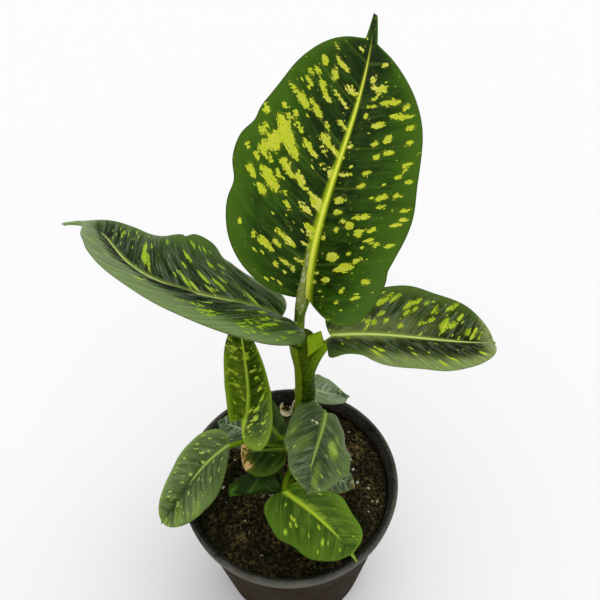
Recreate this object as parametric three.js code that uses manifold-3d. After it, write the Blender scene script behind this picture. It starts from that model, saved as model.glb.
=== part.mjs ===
// A young dieffenbachia in a plain nursery pot.
// Millimetres, +Z up, origin at the centre of the pot's flat underside.
import * as THREE from 'three';
import Module from 'manifold-3d';
import { mergeVertices } from 'three/addons/utils/BufferGeometryUtils.js';

const wasm = await Module();
wasm.setup();

// ---------------------------------------------------------------- driving sizes
const potHeight = 116;
const potFloorRadius = 51.5;    // outside, at the underside
const potBodyRadius = 66.4;     // outside, just under the rim band
const rimRadius = 70;
const rimHeight = 9;
const rimBead = 1.6;            // radius of the rolled edge
const potWall = 2;
const potSides = 48;
const footChamfer = 1.2;
const drainHoles = 8;
const drainHoleRadius = 4;
const drainCircleRadius = 40;

const soilDepth = 11;           // soil surface below the rim
const soilLump = 1.6;           // height of its lumps

const clearance = 0.3;          // gap kept between pieces that touch
const bladeThickness = 0.9;
const ribDepth = 1.8;           // how far the midrib stands out under the blade's base
const ribWidth = 0.16;          // part of the half blade that the midrib's flank takes
const lobeReach = 0.35;         // part of the blade's length that the base's lobes bend
const swingReach = 0.12;

// The stem's centre line and radii, heights from the rim's plane.
const stemLine = [
  { at: [5, 12, -44], radius: 8.5 },
  { at: [6.5, 11.5, -14], radius: 8 },
  { at: [8.5, 10.5, 20], radius: 7 },
  { at: [10.3, 10, 60], radius: 6 },
  { at: [11, 10, 80], radius: 5.7 },
  { at: [11.1, 10, 98], radius: 5.6 },
  { at: [11, 9.8, 112], radius: 5.8 },
  { at: [10.3, 9.5, 124], radius: 6.6 },
  { at: [9.8, 9.5, 136], radius: 7.1 },
];
const stemScars = [14, 38, 61, 86]; // heights of the rings left by old leaves
const scarHeight = 0.5;

// Each blade starts at base, in mm from the centre of the rim's plane.
// heading (turned from +X) and pitch (up from level) are degrees at even steps from base to tip,
// roll goes from base to tip. fold and curl are [[base, tip] of the left half, [base, tip] of the right].
// wave is [height mm, waves in the length, phase of the left edge, phase of the right edge].
// lobe is how far each half of the base reaches back, widest and tip shape the outline.
// drawn is the last part of the length, drawn out to a point, and its half width in mm.
// swing is how far in mm each half's lobe is turned in under the base.
// root is where the stalk leaves the stem, lean how it starts out, stalk its radius at both ends,
// pull how far each end's direction carries, as part of the reach.
const usual = { drawn: [0.06, 2.2], swing: [0, 0], pull: [0.4, 0.35] };
const leaves = [
  {
    name: 'leaf_upright', base: [13, 0.4, 179.2], length: 135, width: 97,
    heading: [77, 49, 57], pitch: [73, 62, 85], roll: [-12, -10],
    fold: [[28, 0], [27, 9]], curl: [[-32, -5], [28, 34]],
    wave: [1.4, 3.2, -90, 98], lobe: [-1, 12], widest: 0.46, tip: 0.49,
    drawn: [0.085, 3.4], pull: [0.5, 0.12],
    root: [7.8, 12.6, 134], lean: [0, -0.1, 1], stalk: [2.7, 2.5], rows: 18, columns: 10,
  },
  {
    name: 'leaf_left', base: [-0.5, -1.5, 166.5], length: 159, width: 62,
    heading: [189, 162, 119, 185], pitch: [50, 7, -17, -4], roll: [15, 28],
    fold: [[40, 37], [39, 32]], curl: [[67, 25], [51, -3]],
    wave: [5.5, 1.4, -150, 250], lobe: [12, 12], widest: 0.21, tip: 0.81,
    drawn: [0.065, 2.8],
    root: [5, 8, 134], lean: [-0.1, -0.2, 1], stalk: [2.5, 2.1], rows: 18, columns: 10,
  },
  {
    name: 'leaf_right', base: [24.5, 0.5, 149], length: 89, width: 55,
    heading: [6, -2, 14], pitch: [1, -9, -16], roll: [0, 4],
    fold: [[31, 32], [27, 28]], curl: [[22, 22], [8, 23]],
    wave: [1, 2.6, 35, 15], lobe: [5, 7], widest: 0.43, tip: 0.56,
    drawn: [0.02, 0.5], pull: [0.45, 0.1],
    root: [11.8, 8.6, 104], lean: [0.2, -0.1, 1], stalk: [4.6, 2], rows: 14, columns: 8,
  },
  {
    name: 'leaf_over_rim', base: [-36.5, 4, 37], length: 70.5, width: 44.5,
    heading: [204, 216, 217], pitch: [-16, -43, -35], roll: [2, 2],
    fold: [[19, 13], [16, 11]], curl: [[34, 16], [32, 54]],
    wave: [0, 2.5, 0, 90], lobe: [-2, 4], widest: 0.4, tip: 0.55,
    drawn: [0.02, 0.5],
    root: [8, 9, 38], lean: [-1, -0.3, 0.25], stalk: [2, 1.6], rows: 12, columns: 8,
  },
  {
    name: 'leaf_erect', base: [-23.5, -5.5, 84], length: 79, width: 44,
    heading: [58, 99, 118], pitch: [60, 86, 75], roll: [38, -26],
    fold: [[54, 35], [47, 46]], curl: [[2, -12], [-25, -45]],
    wave: [2.5, 2, 0, 75], lobe: [-1, 22], widest: 0.27, tip: 0.52,
    swing: [0, 7],
    root: [8, 10, 26], lean: [-1, -0.3, 0.5], stalk: [2, 1.6], rows: 16, columns: 8,
  },
  {
    name: 'leaf_drooping', base: [22.5, -2, 80.5], length: 52, width: 45,
    heading: [264, 249, 266], pitch: [13, -27, -76], roll: [-26, 26],
    fold: [[-6, 2], [4, -2]], curl: [[64, 31], [51, 50]],
    wave: [3.5, 2.5, 45, 70], lobe: [7, 11], widest: 0.48, tip: 0.71,
    drawn: [0.05, 1.5],
    root: [8, 10, 52], lean: [0.9, -0.5, 0.8], stalk: [2, 1.5], rows: 12, columns: 8,
  },
  {
    name: 'leaf_front', base: [-3.5, -18.5, 18], length: 63, width: 52,
    heading: [315, 316, 303], pitch: [17, -6, -17], roll: [-11, -15],
    fold: [[4, 5], [5, 7]], curl: [[36, 31], [30, 24]],
    wave: [2, 2.4, 55, 30], lobe: [4, 6], widest: 0.42, tip: 0.4,
    drawn: [0.1, 1.3],
    root: [7.5, 10.5, 17], lean: [-0.1, -1, 0.7], stalk: [2, 1.6], rows: 12, columns: 8,
  },
  {
    name: 'leaf_rolled', base: [-5.5, -9.5, 4.5], length: 34.5, width: 48,
    heading: [182, 184, 186], pitch: [0, -4, -4], roll: [0, 0],
    fold: [[24, 24], [24, 24]], curl: [[-165, -260], [-150, -250]],
    wave: [0.5, 2, 0, 90], lobe: [2, 2], widest: 0.4, tip: 0.5,
    drawn: [0.02, 0.5],
    root: [7, 11, -2], lean: [-0.6, -1, 0.2], stalk: [1.8, 1.5], rows: 8, columns: 10,
  },
  {
    name: 'leaf_torn', base: [-3, 6, 27], length: 28, width: 34,
    heading: [183, 182, 180], pitch: [6, -6, -16], roll: [-12, -10],
    fold: [[8, 8], [8, 8]], curl: [[25, 25], [25, 25]],
    wave: [1, 2, 60, 0], lobe: [2, 2], widest: 0.5, tip: 0.3,
    drawn: [0.02, 0.5],
    root: [7.5, 10.5, 20], lean: [-1, -0.1, 0.5], stalk: [1.8, 1.5], rows: 8, columns: 6,
  },
  {
    name: 'leaf_dark', base: [-6, 3.4, 47.4], length: 42, width: 22,
    heading: [128, 125, 120], pitch: [14, 8, 0], roll: [0, 0],
    fold: [[14, 10], [14, 10]], curl: [[20, 20], [20, 20]],
    wave: [0.8, 2, 0, 90], lobe: [5, 4], widest: 0.42, tip: 0.7,
    root: [9, 9.5, 42], lean: [-0.8, -1, 0.6], stalk: [1.8, 1.5], rows: 8, columns: 6,
  },
  {
    name: 'leaf_back_left', base: [-17, 21, 18], length: 34, width: 28,
    heading: [160, 155, 150], pitch: [5, -5, -15], roll: [-10, -10],
    fold: [[12, 10], [12, 10]], curl: [[25, 25], [25, 25]],
    wave: [0.5, 2, 0, 90], lobe: [3, 3], widest: 0.42, tip: 0.7,
    root: [7, 11, 2], lean: [-0.8, 0.6, 0.8], stalk: [1.8, 1.4], rows: 8, columns: 6,
  },
  {
    name: 'leaf_back_right', base: [14, 50, 29], length: 31, width: 28,
    heading: [-15, 7, 10], pitch: [-11, -32, -20], roll: [-6, -19],
    fold: [[20, 16], [21, 20]], curl: [[25, 14], [23, 11]],
    wave: [0.5, 2, 0, 90], lobe: [4, 4], widest: 0.41, tip: 0.76,
    root: [7, 11, 0], lean: [0, 1, 1], stalk: [1.8, 1.4], rows: 8, columns: 6,
  },
  {
    name: 'leaf_low', base: [17, 2, 3], length: 27, width: 22,
    heading: [342, 339, 335], pitch: [5, -8, -15], roll: [5, 0],
    fold: [[10, 10], [10, 10]], curl: [[25, 25], [25, 25]],
    wave: [1, 2, 0, 120], lobe: [3, 3], widest: 0.42, tip: 0.5,
    root: [7, 11, -5], lean: [1, -0.8, 0.4], stalk: [1.6, 1.3], rows: 8, columns: 6,
  },
];

// The new leaf, still rolled to a spear, in front of the upright leaf's stalk.
const spearLine = [
  { at: [8.4, 5.2, 136.3], radius: 1.5 },
  { at: [8.7, 3.4, 150], radius: 2.3 },
  { at: [9.1, -3.2, 172], radius: 2.5 },
  { at: [9.9, -4.6, 186], radius: 2.2 },
  { at: [11.3, -5, 200], radius: 1.3 },
  { at: [12.9, -4.6, 212], radius: 0.8 },
  { at: [14, -4, 220], radius: 0.4 },
];

// The light green wing where the right leaf's sheath ends: its corners in the plane y, as [x, height].
const sheathWing = {
  y: 2, thickness: 1.2,
  corners: [[12.8, 130.5], [21.5, 141], [20.9, 143.5], [19.7, 151.2], [12.5, 146.9], [11.7, 140.7]],
};

// What is left of an old leaf's sheath: a dry strip round the back of the stem with a curled end.
const drySheath = {
  centre: [10.6, 10], height: 65, radius: 7.3, thickness: 0.7, tall: 4.5, curlRadius: 3.6,
};

const colours = {
  dry: 0xc9bd94, pot: 0x2b2825, soil: 0x2a1d15, stem: 0x4f7a1e, spear: 0x7c8f63,
  blade: 0x2f5a1c, lowBlade: 0x46603a,
};

// ---------------------------------------------------------------- helpers
const degrees = Math.PI / 180;
const rimPlane = new THREE.Vector3(0, 0, potHeight);
const fromRim = (p) => new THREE.Vector3(...p).add(rimPlane);

function toSolid(geometry) {
  const bare = geometry.clone();
  for (const name of Object.keys(bare.attributes)) if (name !== 'position') bare.deleteAttribute(name);
  const merged = mergeVertices(bare, 1e-4);
  return new wasm.Manifold(new wasm.Mesh({
    numProp: 3,
    vertProperties: Float32Array.from(merged.attributes.position.array),
    triVerts: Uint32Array.from(merged.index.array),
  }));
}

function toGeometry(solid) {
  const mesh = solid.getMesh();
  const geometry = new THREE.BufferGeometry();
  geometry.setAttribute('position', new THREE.BufferAttribute(Float32Array.from(mesh.vertProperties), 3));
  geometry.setIndex(Array.from(mesh.triVerts));
  return geometry;
}

function meshOf(points, faces) {
  const geometry = new THREE.BufferGeometry().setFromPoints(points);
  geometry.setIndex(faces.flat());
  return geometry;
}

// A value given at even steps along a leaf, read at t from 0 to 1.
function along(values, t) {
  const last = values.length - 1;
  let sum = 0;
  values.forEach((value, i) => {
    let weight = 1;
    for (let j = 0; j <= last; j += 1) if (j !== i) weight *= (t * last - j) / (i - j);
    sum += value * weight;
  });
  return sum;
}

// A closed tube through rings of the given centres and radii.
function tube(centres, radii, sides) {
  const points = [];
  const faces = [];
  const tangent = centres.map((c, i) => new THREE.Vector3()
    .subVectors(centres[Math.min(i + 1, centres.length - 1)], centres[Math.max(i - 1, 0)]).normalize());
  const first = tangent[0];
  const across = new THREE.Vector3(Math.abs(first.x) < 0.8 ? 1 : 0, Math.abs(first.x) < 0.8 ? 0 : 1, 0);
  centres.forEach((centre, i) => {
    across.addScaledVector(tangent[i], -across.dot(tangent[i])).normalize();
    const third = new THREE.Vector3().crossVectors(tangent[i], across);
    for (let k = 0; k < sides; k += 1) {
      const angle = (2 * Math.PI * k) / sides;
      points.push(centre.clone().addScaledVector(across, radii[i] * Math.cos(angle))
        .addScaledVector(third, radii[i] * Math.sin(angle)));
    }
  });
  for (let i = 0; i < centres.length - 1; i += 1) {
    for (let k = 0; k < sides; k += 1) {
      const a = i * sides + k;
      const b = i * sides + ((k + 1) % sides);
      faces.push([a, b, b + sides], [a, b + sides, a + sides]);
    }
  }
  const end = (centres.length - 1) * sides;
  for (let k = 1; k < sides - 1; k += 1) faces.push([0, k + 1, k], [end, end + k, end + k + 1]);
  return meshOf(points, faces);
}

// Rings along a smooth line through stations of { at, radius }.
function lineTube(stations, steps, sides, grow = 0, swell = () => 0) {
  const curve = new THREE.CatmullRomCurve3(stations.map((s) => fromRim(s.at)), false, 'centripetal');
  const centres = [];
  const radii = [];
  for (let i = 0; i <= steps; i += 1) {
    const t = i / steps;
    const place = t * (stations.length - 1);
    const k = Math.min(Math.floor(place), stations.length - 2);
    const centre = curve.getPoint(t);
    centres.push(centre);
    radii.push(THREE.MathUtils.lerp(stations[k].radius, stations[k + 1].radius, place - k)
      + grow + swell(centre.z - potHeight));
  }
  return tube(centres, radii, sides);
}

// ---------------------------------------------------------------- a leaf
const spineSteps = 48;

// Centre line of a blade with its tangent, upward normal and rightward side.
function spine(leaf) {
  const rows = [];
  const centre = fromRim(leaf.base);
  let before = null;
  for (let i = 0; i <= spineSteps; i += 1) {
    const t = i / spineSteps;
    const heading = along(leaf.heading, t) * degrees;
    const pitch = along(leaf.pitch, t) * degrees;
    const roll = THREE.MathUtils.lerp(leaf.roll[0], leaf.roll[1], t) * degrees;
    const tangent = new THREE.Vector3(
      Math.cos(pitch) * Math.cos(heading), Math.cos(pitch) * Math.sin(heading), Math.sin(pitch));
    const upward = new THREE.Vector3(
      -Math.sin(pitch) * Math.cos(heading), -Math.sin(pitch) * Math.sin(heading), Math.cos(pitch));
    const side = new THREE.Vector3().crossVectors(tangent, upward);
    const normal = upward.multiplyScalar(Math.cos(roll)).addScaledVector(side, Math.sin(roll));
    if (before) {
      const middle = tangent.clone().add(before).multiplyScalar(0.5);
      centre.addScaledVector(middle, leaf.length / spineSteps);
    }
    before = tangent;
    const across = new THREE.Vector3().crossVectors(tangent, normal);
    rows.push({ centre: centre.clone(), tangent, normal, side: across });
  }
  return rows;
}

// Half width of the blade at t: an egg-shaped outline that runs out into a drawn tip.
function halfWidth(leaf, t) {
  const [drawnShare, drawnWidth] = leaf.drawn;
  const u = Math.min(t / (1 - drawnShare), 1);
  const toBase = Math.sqrt(Math.max(1 - (1 - u / leaf.widest) ** 2, 0));
  const toTip = Math.max(1 - ((u - leaf.widest) / (1 - leaf.widest)) ** 2, 0) ** leaf.tip;
  const body = (leaf.width / 2) * (u < leaf.widest ? toBase : toTip);
  const drawn = drawnWidth * Math.min((1 - t) / drawnShare, 1) ** 0.8;
  const blend = drawnWidth * 1.2;
  const share = THREE.MathUtils.clamp(0.5 + (0.5 * (drawn - body)) / blend, 0, 1);
  const joined = drawn * share + body * (1 - share) + blend * share * (1 - share);
  return THREE.MathUtils.lerp(body, joined, THREE.MathUtils.smoothstep(t, 0.5, 0.7));
}

// The blade's middle surface: t from base to tip, s from -1 (left edge) to 1 (right edge).
function bladePoint(leaf, rows, t, s) {
  const half = s < 0 ? 0 : 1;
  const out = Math.abs(s);
  const bulge = (reach) => Math.sin(Math.PI * Math.min(1, Math.sqrt(t / reach))) * out ** 1.5;
  const x = halfWidth(leaf, t) * out - leaf.swing[half] * bulge(swingReach);
  const back = leaf.lobe[half] * bulge(lobeReach);
  const place = t - back / leaf.length;
  const held = THREE.MathUtils.clamp(place, 0, 1);
  const k = Math.min(Math.floor(held * spineSteps), spineSteps - 1);
  const f = held * spineSteps - k;
  const mix = (name) => rows[k][name].clone().lerp(rows[k + 1][name], f);
  const fold = THREE.MathUtils.lerp(...leaf.fold[half], held) * degrees;
  const turn = THREE.MathUtils.lerp(...leaf.curl[half], held) * degrees;
  const halfBlade = leaf.width / 2;
  const bend = (Math.abs(turn) < 1e-4 ? 1e-4 : turn) / halfBlade;
  const across = (Math.sin(fold) - Math.sin(fold - bend * x)) / bend;
  const ripple = leaf.wave[0] * (x / halfBlade) ** 2
    * Math.sin(2 * Math.PI * leaf.wave[1] * place + leaf.wave[2 + half] * degrees);
  const up = (Math.cos(fold - bend * x) - Math.cos(fold)) / bend + ripple;
  return mix('centre')
    .addScaledVector(mix('tangent'), Math.min(place, 0) * leaf.length)
    .addScaledVector(mix('side'), (half ? 1 : -1) * across)
    .addScaledVector(mix('normal'), up);
}

// The blade's upward normal, from two short steps along and across it.
const stepAlong = 0.004;
const stepAcross = 0.02;
function bladeNormal(leaf, rows, t, s) {
  const inT = THREE.MathUtils.clamp(t, stepAcross, 1 - stepAcross);
  const inS = THREE.MathUtils.clamp(s, stepAcross - 1, 1 - stepAcross);
  const ahead = bladePoint(leaf, rows, inT + stepAlong, s).sub(bladePoint(leaf, rows, inT - stepAlong, s));
  const across = bladePoint(leaf, rows, inT, inS + stepAcross)
    .sub(bladePoint(leaf, rows, inT, inS - stepAcross));
  return across.cross(ahead).normalize();
}

// A thin closed blade, its two faces split into triangles alike.
const crowding = 0.55; // how much closer the rows stand at both ends
function bladeGeometry(leaf) {
  const rows = spine(leaf);
  const { rows: rowCount, columns } = leaf;
  const grid = [];
  const upper = [];
  const lower = [];
  const station = (i) => {
    const even = i / rowCount;
    return even - (Math.sin(2 * Math.PI * even) / (2 * Math.PI)) * crowding;
  };
  const addPoint = (t, s) => {
    const point = bladePoint(leaf, rows, t, s);
    const normal = bladeNormal(leaf, rows, t, s);
    const rib = ribDepth * (1 - 0.85 * t) * Math.max(0, 1 - Math.abs(s) / ribWidth);
    upper.push(point.clone().addScaledVector(normal, bladeThickness / 2));
    lower.push(point.clone().addScaledVector(normal, -bladeThickness / 2 - rib));
    return upper.length - 1;
  };
  for (let i = 0; i <= rowCount; i += 1) {
    if (i === 0 || i === rowCount) {
      grid.push(Array(columns + 1).fill(addPoint(i / rowCount, 0)));
    } else {
      grid.push(Array.from({ length: columns + 1 }, (_, j) => addPoint(station(i), (2 * j) / columns - 1)));
    }
  }
  const faces = [];
  const count = upper.length;
  const addFace = (a, b, c) => {
    if (a === b || b === c || a === c) return;
    faces.push([a, b, c], [a + count, c + count, b + count]);
  };
  for (let i = 0; i < rowCount; i += 1) {
    for (let j = 0; j < columns; j += 1) {
      const [a, b, c, d] = [grid[i][j], grid[i][j + 1], grid[i + 1][j + 1], grid[i + 1][j]];
      if (2 * j < columns) {
        addFace(a, b, c);
        addFace(a, c, d);
      } else {
        addFace(a, b, d);
        addFace(b, c, d);
      }
    }
    for (const [from, to] of [[grid[i + 1][0], grid[i][0]], [grid[i][columns], grid[i + 1][columns]]]) {
      faces.push([from, from + count, to + count], [from, to + count, to]);
    }
  }
  return meshOf([...upper, ...lower], faces);
}

// The stalk: from inside the stem in a smooth bend to just past the blade's base, under its midrib.
const stalkSides = 8;
const stalkSteps = 9;
const stalkOverlap = 0.05; // part of the blade's length
function stalkGeometry(leaf) {
  const start = fromRim(leaf.root);
  const rows = spine(leaf);
  const into = Math.round(spineSteps * stalkOverlap);
  const end = rows[into].centre.clone().addScaledVector(rows[into].normal, -leaf.stalk[1] * 0.7);
  const reach = start.distanceTo(end);
  const lean = new THREE.Vector3(...leaf.lean).normalize();
  const curve = new THREE.CubicBezierCurve3(
    start, start.clone().addScaledVector(lean, reach * leaf.pull[0]),
    end.clone().addScaledVector(rows[0].tangent, -reach * leaf.pull[1]), end);
  const centres = [];
  const radii = [];
  for (let i = 0; i <= stalkSteps; i += 1) {
    centres.push(curve.getPoint(i / stalkSteps));
    radii.push(THREE.MathUtils.lerp(leaf.stalk[1], leaf.stalk[0], (1 - i / stalkSteps) ** 2));
  }
  return tube(centres, radii, stalkSides);
}

// ---------------------------------------------------------------- pot and soil
function innerRadius(z) {
  return THREE.MathUtils.lerp(potFloorRadius, potBodyRadius, z / (potHeight - rimHeight)) - potWall;
}

function potSolid() {
  const band = potHeight - rimHeight;
  const outline = [
    [0, 0], [potFloorRadius - footChamfer, 0], [potFloorRadius, footChamfer], [potBodyRadius, band],
    [rimRadius - 0.8, band], [rimRadius - 0.5, potHeight - 2 * rimBead],
  ];
  for (let i = 0; i <= 4; i += 1) {
    const angle = (i / 4) * Math.PI;
    const [out, up] = [rimBead * Math.cos(angle), rimBead * Math.sin(angle)];
    outline.push([rimRadius - rimBead + out, potHeight - rimBead + up]);
  }
  outline.push([innerRadius(band), band - 1], [innerRadius(potWall), potWall], [0, potWall]);
  const lathe = new THREE.LatheGeometry(outline.map(([r, z]) => new THREE.Vector2(r, z)), potSides);
  lathe.rotateX(Math.PI / 2);
  let solid = toSolid(lathe);
  for (let i = 0; i < drainHoles; i += 1) {
    const hole = new THREE.CylinderGeometry(drainHoleRadius, drainHoleRadius, 4 * potWall, 10);
    hole.rotateX(Math.PI / 2);
    const angle = (2 * Math.PI * i) / drainHoles;
    hole.translate(drainCircleRadius * Math.cos(angle), drainCircleRadius * Math.sin(angle), potWall / 2);
    solid = solid.subtract(toSolid(hole));
  }
  return solid;
}

// Lumps of three sizes, across the soil's surface.
function soilHeight(x, y) {
  const lumps = Math.sin(x * 0.21 + 1.3) * Math.cos(y * 0.17 - 0.6) + 0.6 * Math.sin(x * 0.47 - y * 0.39)
    + 0.4 * Math.cos(x * 0.83 + y * 0.71);
  return potHeight - soilDepth + (soilLump / 2) * lumps;
}

function soilSolid(stem) {
  const rings = [0.16, 0.36, 0.56, 0.76, 0.92, 1]; // parts of the soil's radius
  const top = potHeight - soilDepth;
  const edge = innerRadius(top - soilLump) - clearance;
  const floor = potWall + clearance;
  const points = [new THREE.Vector3(0, 0, soilHeight(0, 0))];
  const faces = [];
  const ring = (r, z) => {
    for (let k = 0; k < potSides; k += 1) {
      const angle = (2 * Math.PI * k) / potSides;
      const [x, y] = [r * Math.cos(angle), r * Math.sin(angle)];
      points.push(new THREE.Vector3(x, y, z ?? soilHeight(x, y)));
    }
  };
  rings.forEach((part) => ring(part * edge));
  ring(innerRadius(floor) - clearance, floor);
  points.push(new THREE.Vector3(0, 0, floor));
  for (let k = 0; k < potSides; k += 1) {
    const next = (k + 1) % potSides;
    faces.push([0, 1 + k, 1 + next]);
    for (let i = 0; i < rings.length; i += 1) {
      const [a, b] = [1 + i * potSides + k, 1 + i * potSides + next];
      faces.push([a, a + potSides, b + potSides], [a, b + potSides, b]);
    }
    const low = 1 + rings.length * potSides;
    faces.push([low + k, points.length - 1, low + next]);
  }
  return toSolid(meshOf(points, faces)).subtract(stem);
}

// ---------------------------------------------------------------- stem, spear, sheath wing
const stemSides = 14;
const stemSteps = 26;
const scarSpread = 2.5;
function stemSolid(grow = 0) {
  const swell = (height) => stemScars.reduce(
    (sum, scar) => sum + scarHeight * Math.exp(-(((height - scar) / scarSpread) ** 2)), 0);
  const line = stemLine.map((station, i) => {
    const push = i === 0 ? -grow : (i === stemLine.length - 1 ? grow : 0);
    return { at: [station.at[0], station.at[1], station.at[2] + push], radius: station.radius };
  });
  return toSolid(lineTube(line, stemSteps, stemSides, grow, swell));
}

function wingSolid() {
  const { y, thickness, corners } = sheathWing;
  const shape = new THREE.Shape(corners.map(([x, height]) => new THREE.Vector2(x, height)));
  const plate = new THREE.ExtrudeGeometry(shape, { depth: thickness, bevelEnabled: false });
  plate.rotateX(Math.PI / 2);
  plate.translate(...fromRim([0, y + thickness / 2, 0]).toArray());
  return toSolid(plate);
}

// A strip that follows the stem from its right, round the back, to its left, and curls away there.
function drySheathSolid() {
  const { centre, height, radius, thickness, tall, curlRadius } = drySheath;
  const turns = [
    { x: centre[0], y: centre[1], r: radius, from: 15, to: 180, steps: 10 },
    { x: centre[0] - radius - curlRadius, y: centre[1], r: curlRadius, from: 0, to: -235, steps: 8 },
  ];
  const outer = [];
  const inner = [];
  for (const turn of turns) {
    const outward = turn.to > turn.from ? 1 : -1;
    for (let i = turn === turns[0] ? 0 : 1; i <= turn.steps; i += 1) {
      const angle = THREE.MathUtils.lerp(turn.from, turn.to, i / turn.steps) * degrees;
      const at = (r) => new THREE.Vector2(turn.x + r * Math.cos(angle), turn.y + r * Math.sin(angle));
      outer.push(at(turn.r + (outward * thickness) / 2));
      inner.push(at(turn.r - (outward * thickness) / 2));
    }
  }
  const outline = new THREE.Shape([...outer, ...inner.reverse()]);
  const strip = new THREE.ExtrudeGeometry(outline, { depth: tall, bevelEnabled: false });
  strip.translate(0, 0, potHeight + height);
  return toSolid(strip);
}

// ---------------------------------------------------------------- the plant
const plant = new THREE.Group();
function add(name, solid, colour, roughness) {
  const material = new THREE.MeshStandardMaterial({
    color: colour, roughness, metalness: 0, flatShading: true,
  });
  const mesh = new THREE.Mesh(toGeometry(solid), material);
  mesh.name = name;
  plant.add(mesh);
}

const stemClear = stemSolid(clearance);
add('pot', potSolid(), colours.pot, 0.5);
add('soil', soilSolid(stemClear), colours.soil, 1);
add('stem', stemSolid(), colours.stem, 0.45);
add('leaf_new', toSolid(lineTube(spearLine, 14, 10)), colours.spear, 0.5);
add('dry_sheath', drySheathSolid(), colours.dry, 0.8);
for (const settings of leaves) {
  const leaf = { ...usual, ...settings };
  let solid = toSolid(bladeGeometry(leaf)).add(toSolid(stalkGeometry(leaf)));
  if (leaf.name === 'leaf_right') solid = solid.add(wingSolid());
  add(leaf.name, solid.subtract(stemClear), leaf.base[2] > 60 ? colours.blade : colours.lowBlade, 0.45);
}

export default plant;
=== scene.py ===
"""A young dieffenbachia with yellow-flecked leaves in a black nursery pot.

Lengths are in millimetres, and to_metres turns them into Blender's metres where a mesh is written.
Heights marked "over the rim" are measured from the plane of the pot's rim, as the plant's own are.
"""
import math

import bpy
import numpy as np
from mathutils import Matrix, Vector


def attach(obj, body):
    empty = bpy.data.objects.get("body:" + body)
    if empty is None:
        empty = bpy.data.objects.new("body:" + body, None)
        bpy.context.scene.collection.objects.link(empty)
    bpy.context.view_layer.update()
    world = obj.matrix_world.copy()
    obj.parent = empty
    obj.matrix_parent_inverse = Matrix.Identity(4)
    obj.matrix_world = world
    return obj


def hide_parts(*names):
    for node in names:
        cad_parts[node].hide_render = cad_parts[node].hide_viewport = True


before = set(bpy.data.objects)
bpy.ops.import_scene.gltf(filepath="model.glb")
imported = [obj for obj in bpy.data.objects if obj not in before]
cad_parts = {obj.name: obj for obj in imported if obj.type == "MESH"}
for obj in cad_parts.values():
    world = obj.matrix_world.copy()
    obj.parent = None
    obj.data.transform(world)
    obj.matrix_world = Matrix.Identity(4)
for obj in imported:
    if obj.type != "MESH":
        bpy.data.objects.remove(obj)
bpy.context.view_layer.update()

# ---------------------------------------------------------------- sizes
POT_HEIGHT = 116.0
POT_FLOOR_RADIUS = 51.5
POT_BODY_RADIUS = 66.4
RIM_RADIUS = 70.0
RIM_HEIGHT = 9.0
RIM_BEAD = 1.6
RIM_FILLET = 0.6  # round the lower edge of the rim
POT_WALL = 2.0
FOOT_CHAMFER = 1.2
DRAIN_HOLES = 8
DRAIN_HOLE_RADIUS = 4.0
DRAIN_CIRCLE_RADIUS = 40.0
SOIL_DEPTH = 11.0
SOIL_LUMP = 1.6
CLEARANCE = 0.3  # between the soil and the pot
POT_TURNS = 128  # facets round the pot
SOIL_TURNS, SOIL_RINGS = 160, 56
FLOOR_HALF, FLOOR_DROP = 3000.0, -0.05

CAMERA_AT = (9.4, -248.7, 472.0)  # over the rim's centre
CAMERA_PITCH = 49.7
CAMERA_ROLL = -1.5
PICTURE_WIDTH, FOCAL_LENGTH = 600, 800  # pixels
CAMERA_ANGLE = 2 * math.atan(PICTURE_WIDTH / 2 / FOCAL_LENGTH)

# Centre lines of the cane and the rolled leaf: (x, y, height over the rim, radius).
STEM_LINE = [
    (5, 12, -44, 8.5), (6.5, 11.5, -14, 8), (8.5, 10.5, 20, 7), (10.3, 10, 60, 6), (11, 10, 80, 5.7),
    (11.1, 10, 98, 5.6), (11, 9.8, 112, 5.8), (10.3, 9.5, 124, 6.6), (9.8, 9.5, 136, 7.1),
]
STEM_SCARS = [14, 38, 61, 86]  # heights over the rim
SPEAR_LINE = [
    (8.4, 5.2, 136.3, 1.5), (8.7, 3.4, 150, 2.3), (9.1, -3.2, 172, 2.5), (9.9, -4.6, 186, 2.2),
    (11.3, -5, 200, 1.3), (12.9, -4.6, 212, 0.8), (14, -4, 220, 0.4),
]

SHEATH_FROM = 62.0  # height over the rim where the last sheath's wrap starts
SHEATH_EDGE = 108.0  # its edge, degrees clockwise from +X seen from above
SPEAR_FREE = 40.0  # mm from its foot where the rolled leaf leaves its sheath, at the front
SHEATH_WING = dict(low=((12.8, 130.5), (12.5, 146.9)), high=((21.5, 141.0), (19.7, 151.2)), y=2.0,
                   thickness=1.2, bow=1.0)  # corners as (x, height over the rim)
# The dry strip: it runs round the stem from start to stop degrees and curls back by its last turn.
DRY_SHEATH = dict(centre=(10.6, 10.0), radius=7.3, curl=3.6, start=15, stop=180, turn=-235, height=65,
                  tall=4.5, thickness=0.56, bow=0.25)

BLADE_THICKNESS = 0.55
BLADE_STEP = 0.9  # between a blade's points
RIB_DEPTH = 1.8  # how far the midrib stands out under the blade's base
SPINE_STEPS = 96
LOBE_REACH = 0.35  # part of the blade's length that the base's lobes bend
SWING_REACH = 0.12  # part of it that is turned in under the base
STALK_STEPS, STALK_SIDES = 40, 24
STALK_OVERLAP = 0.05  # part of the blade's length that the stalk runs along under it
STEEP = 4  # how flat-topped a fleck's density is
UNDERSIDE_VEINS = 8.0  # between the veins that show from below
TEAR = dict(t=0.16, s=0.26, reach=0.24)  # a short tear in the drooping leaf, its lower lip pale

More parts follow.
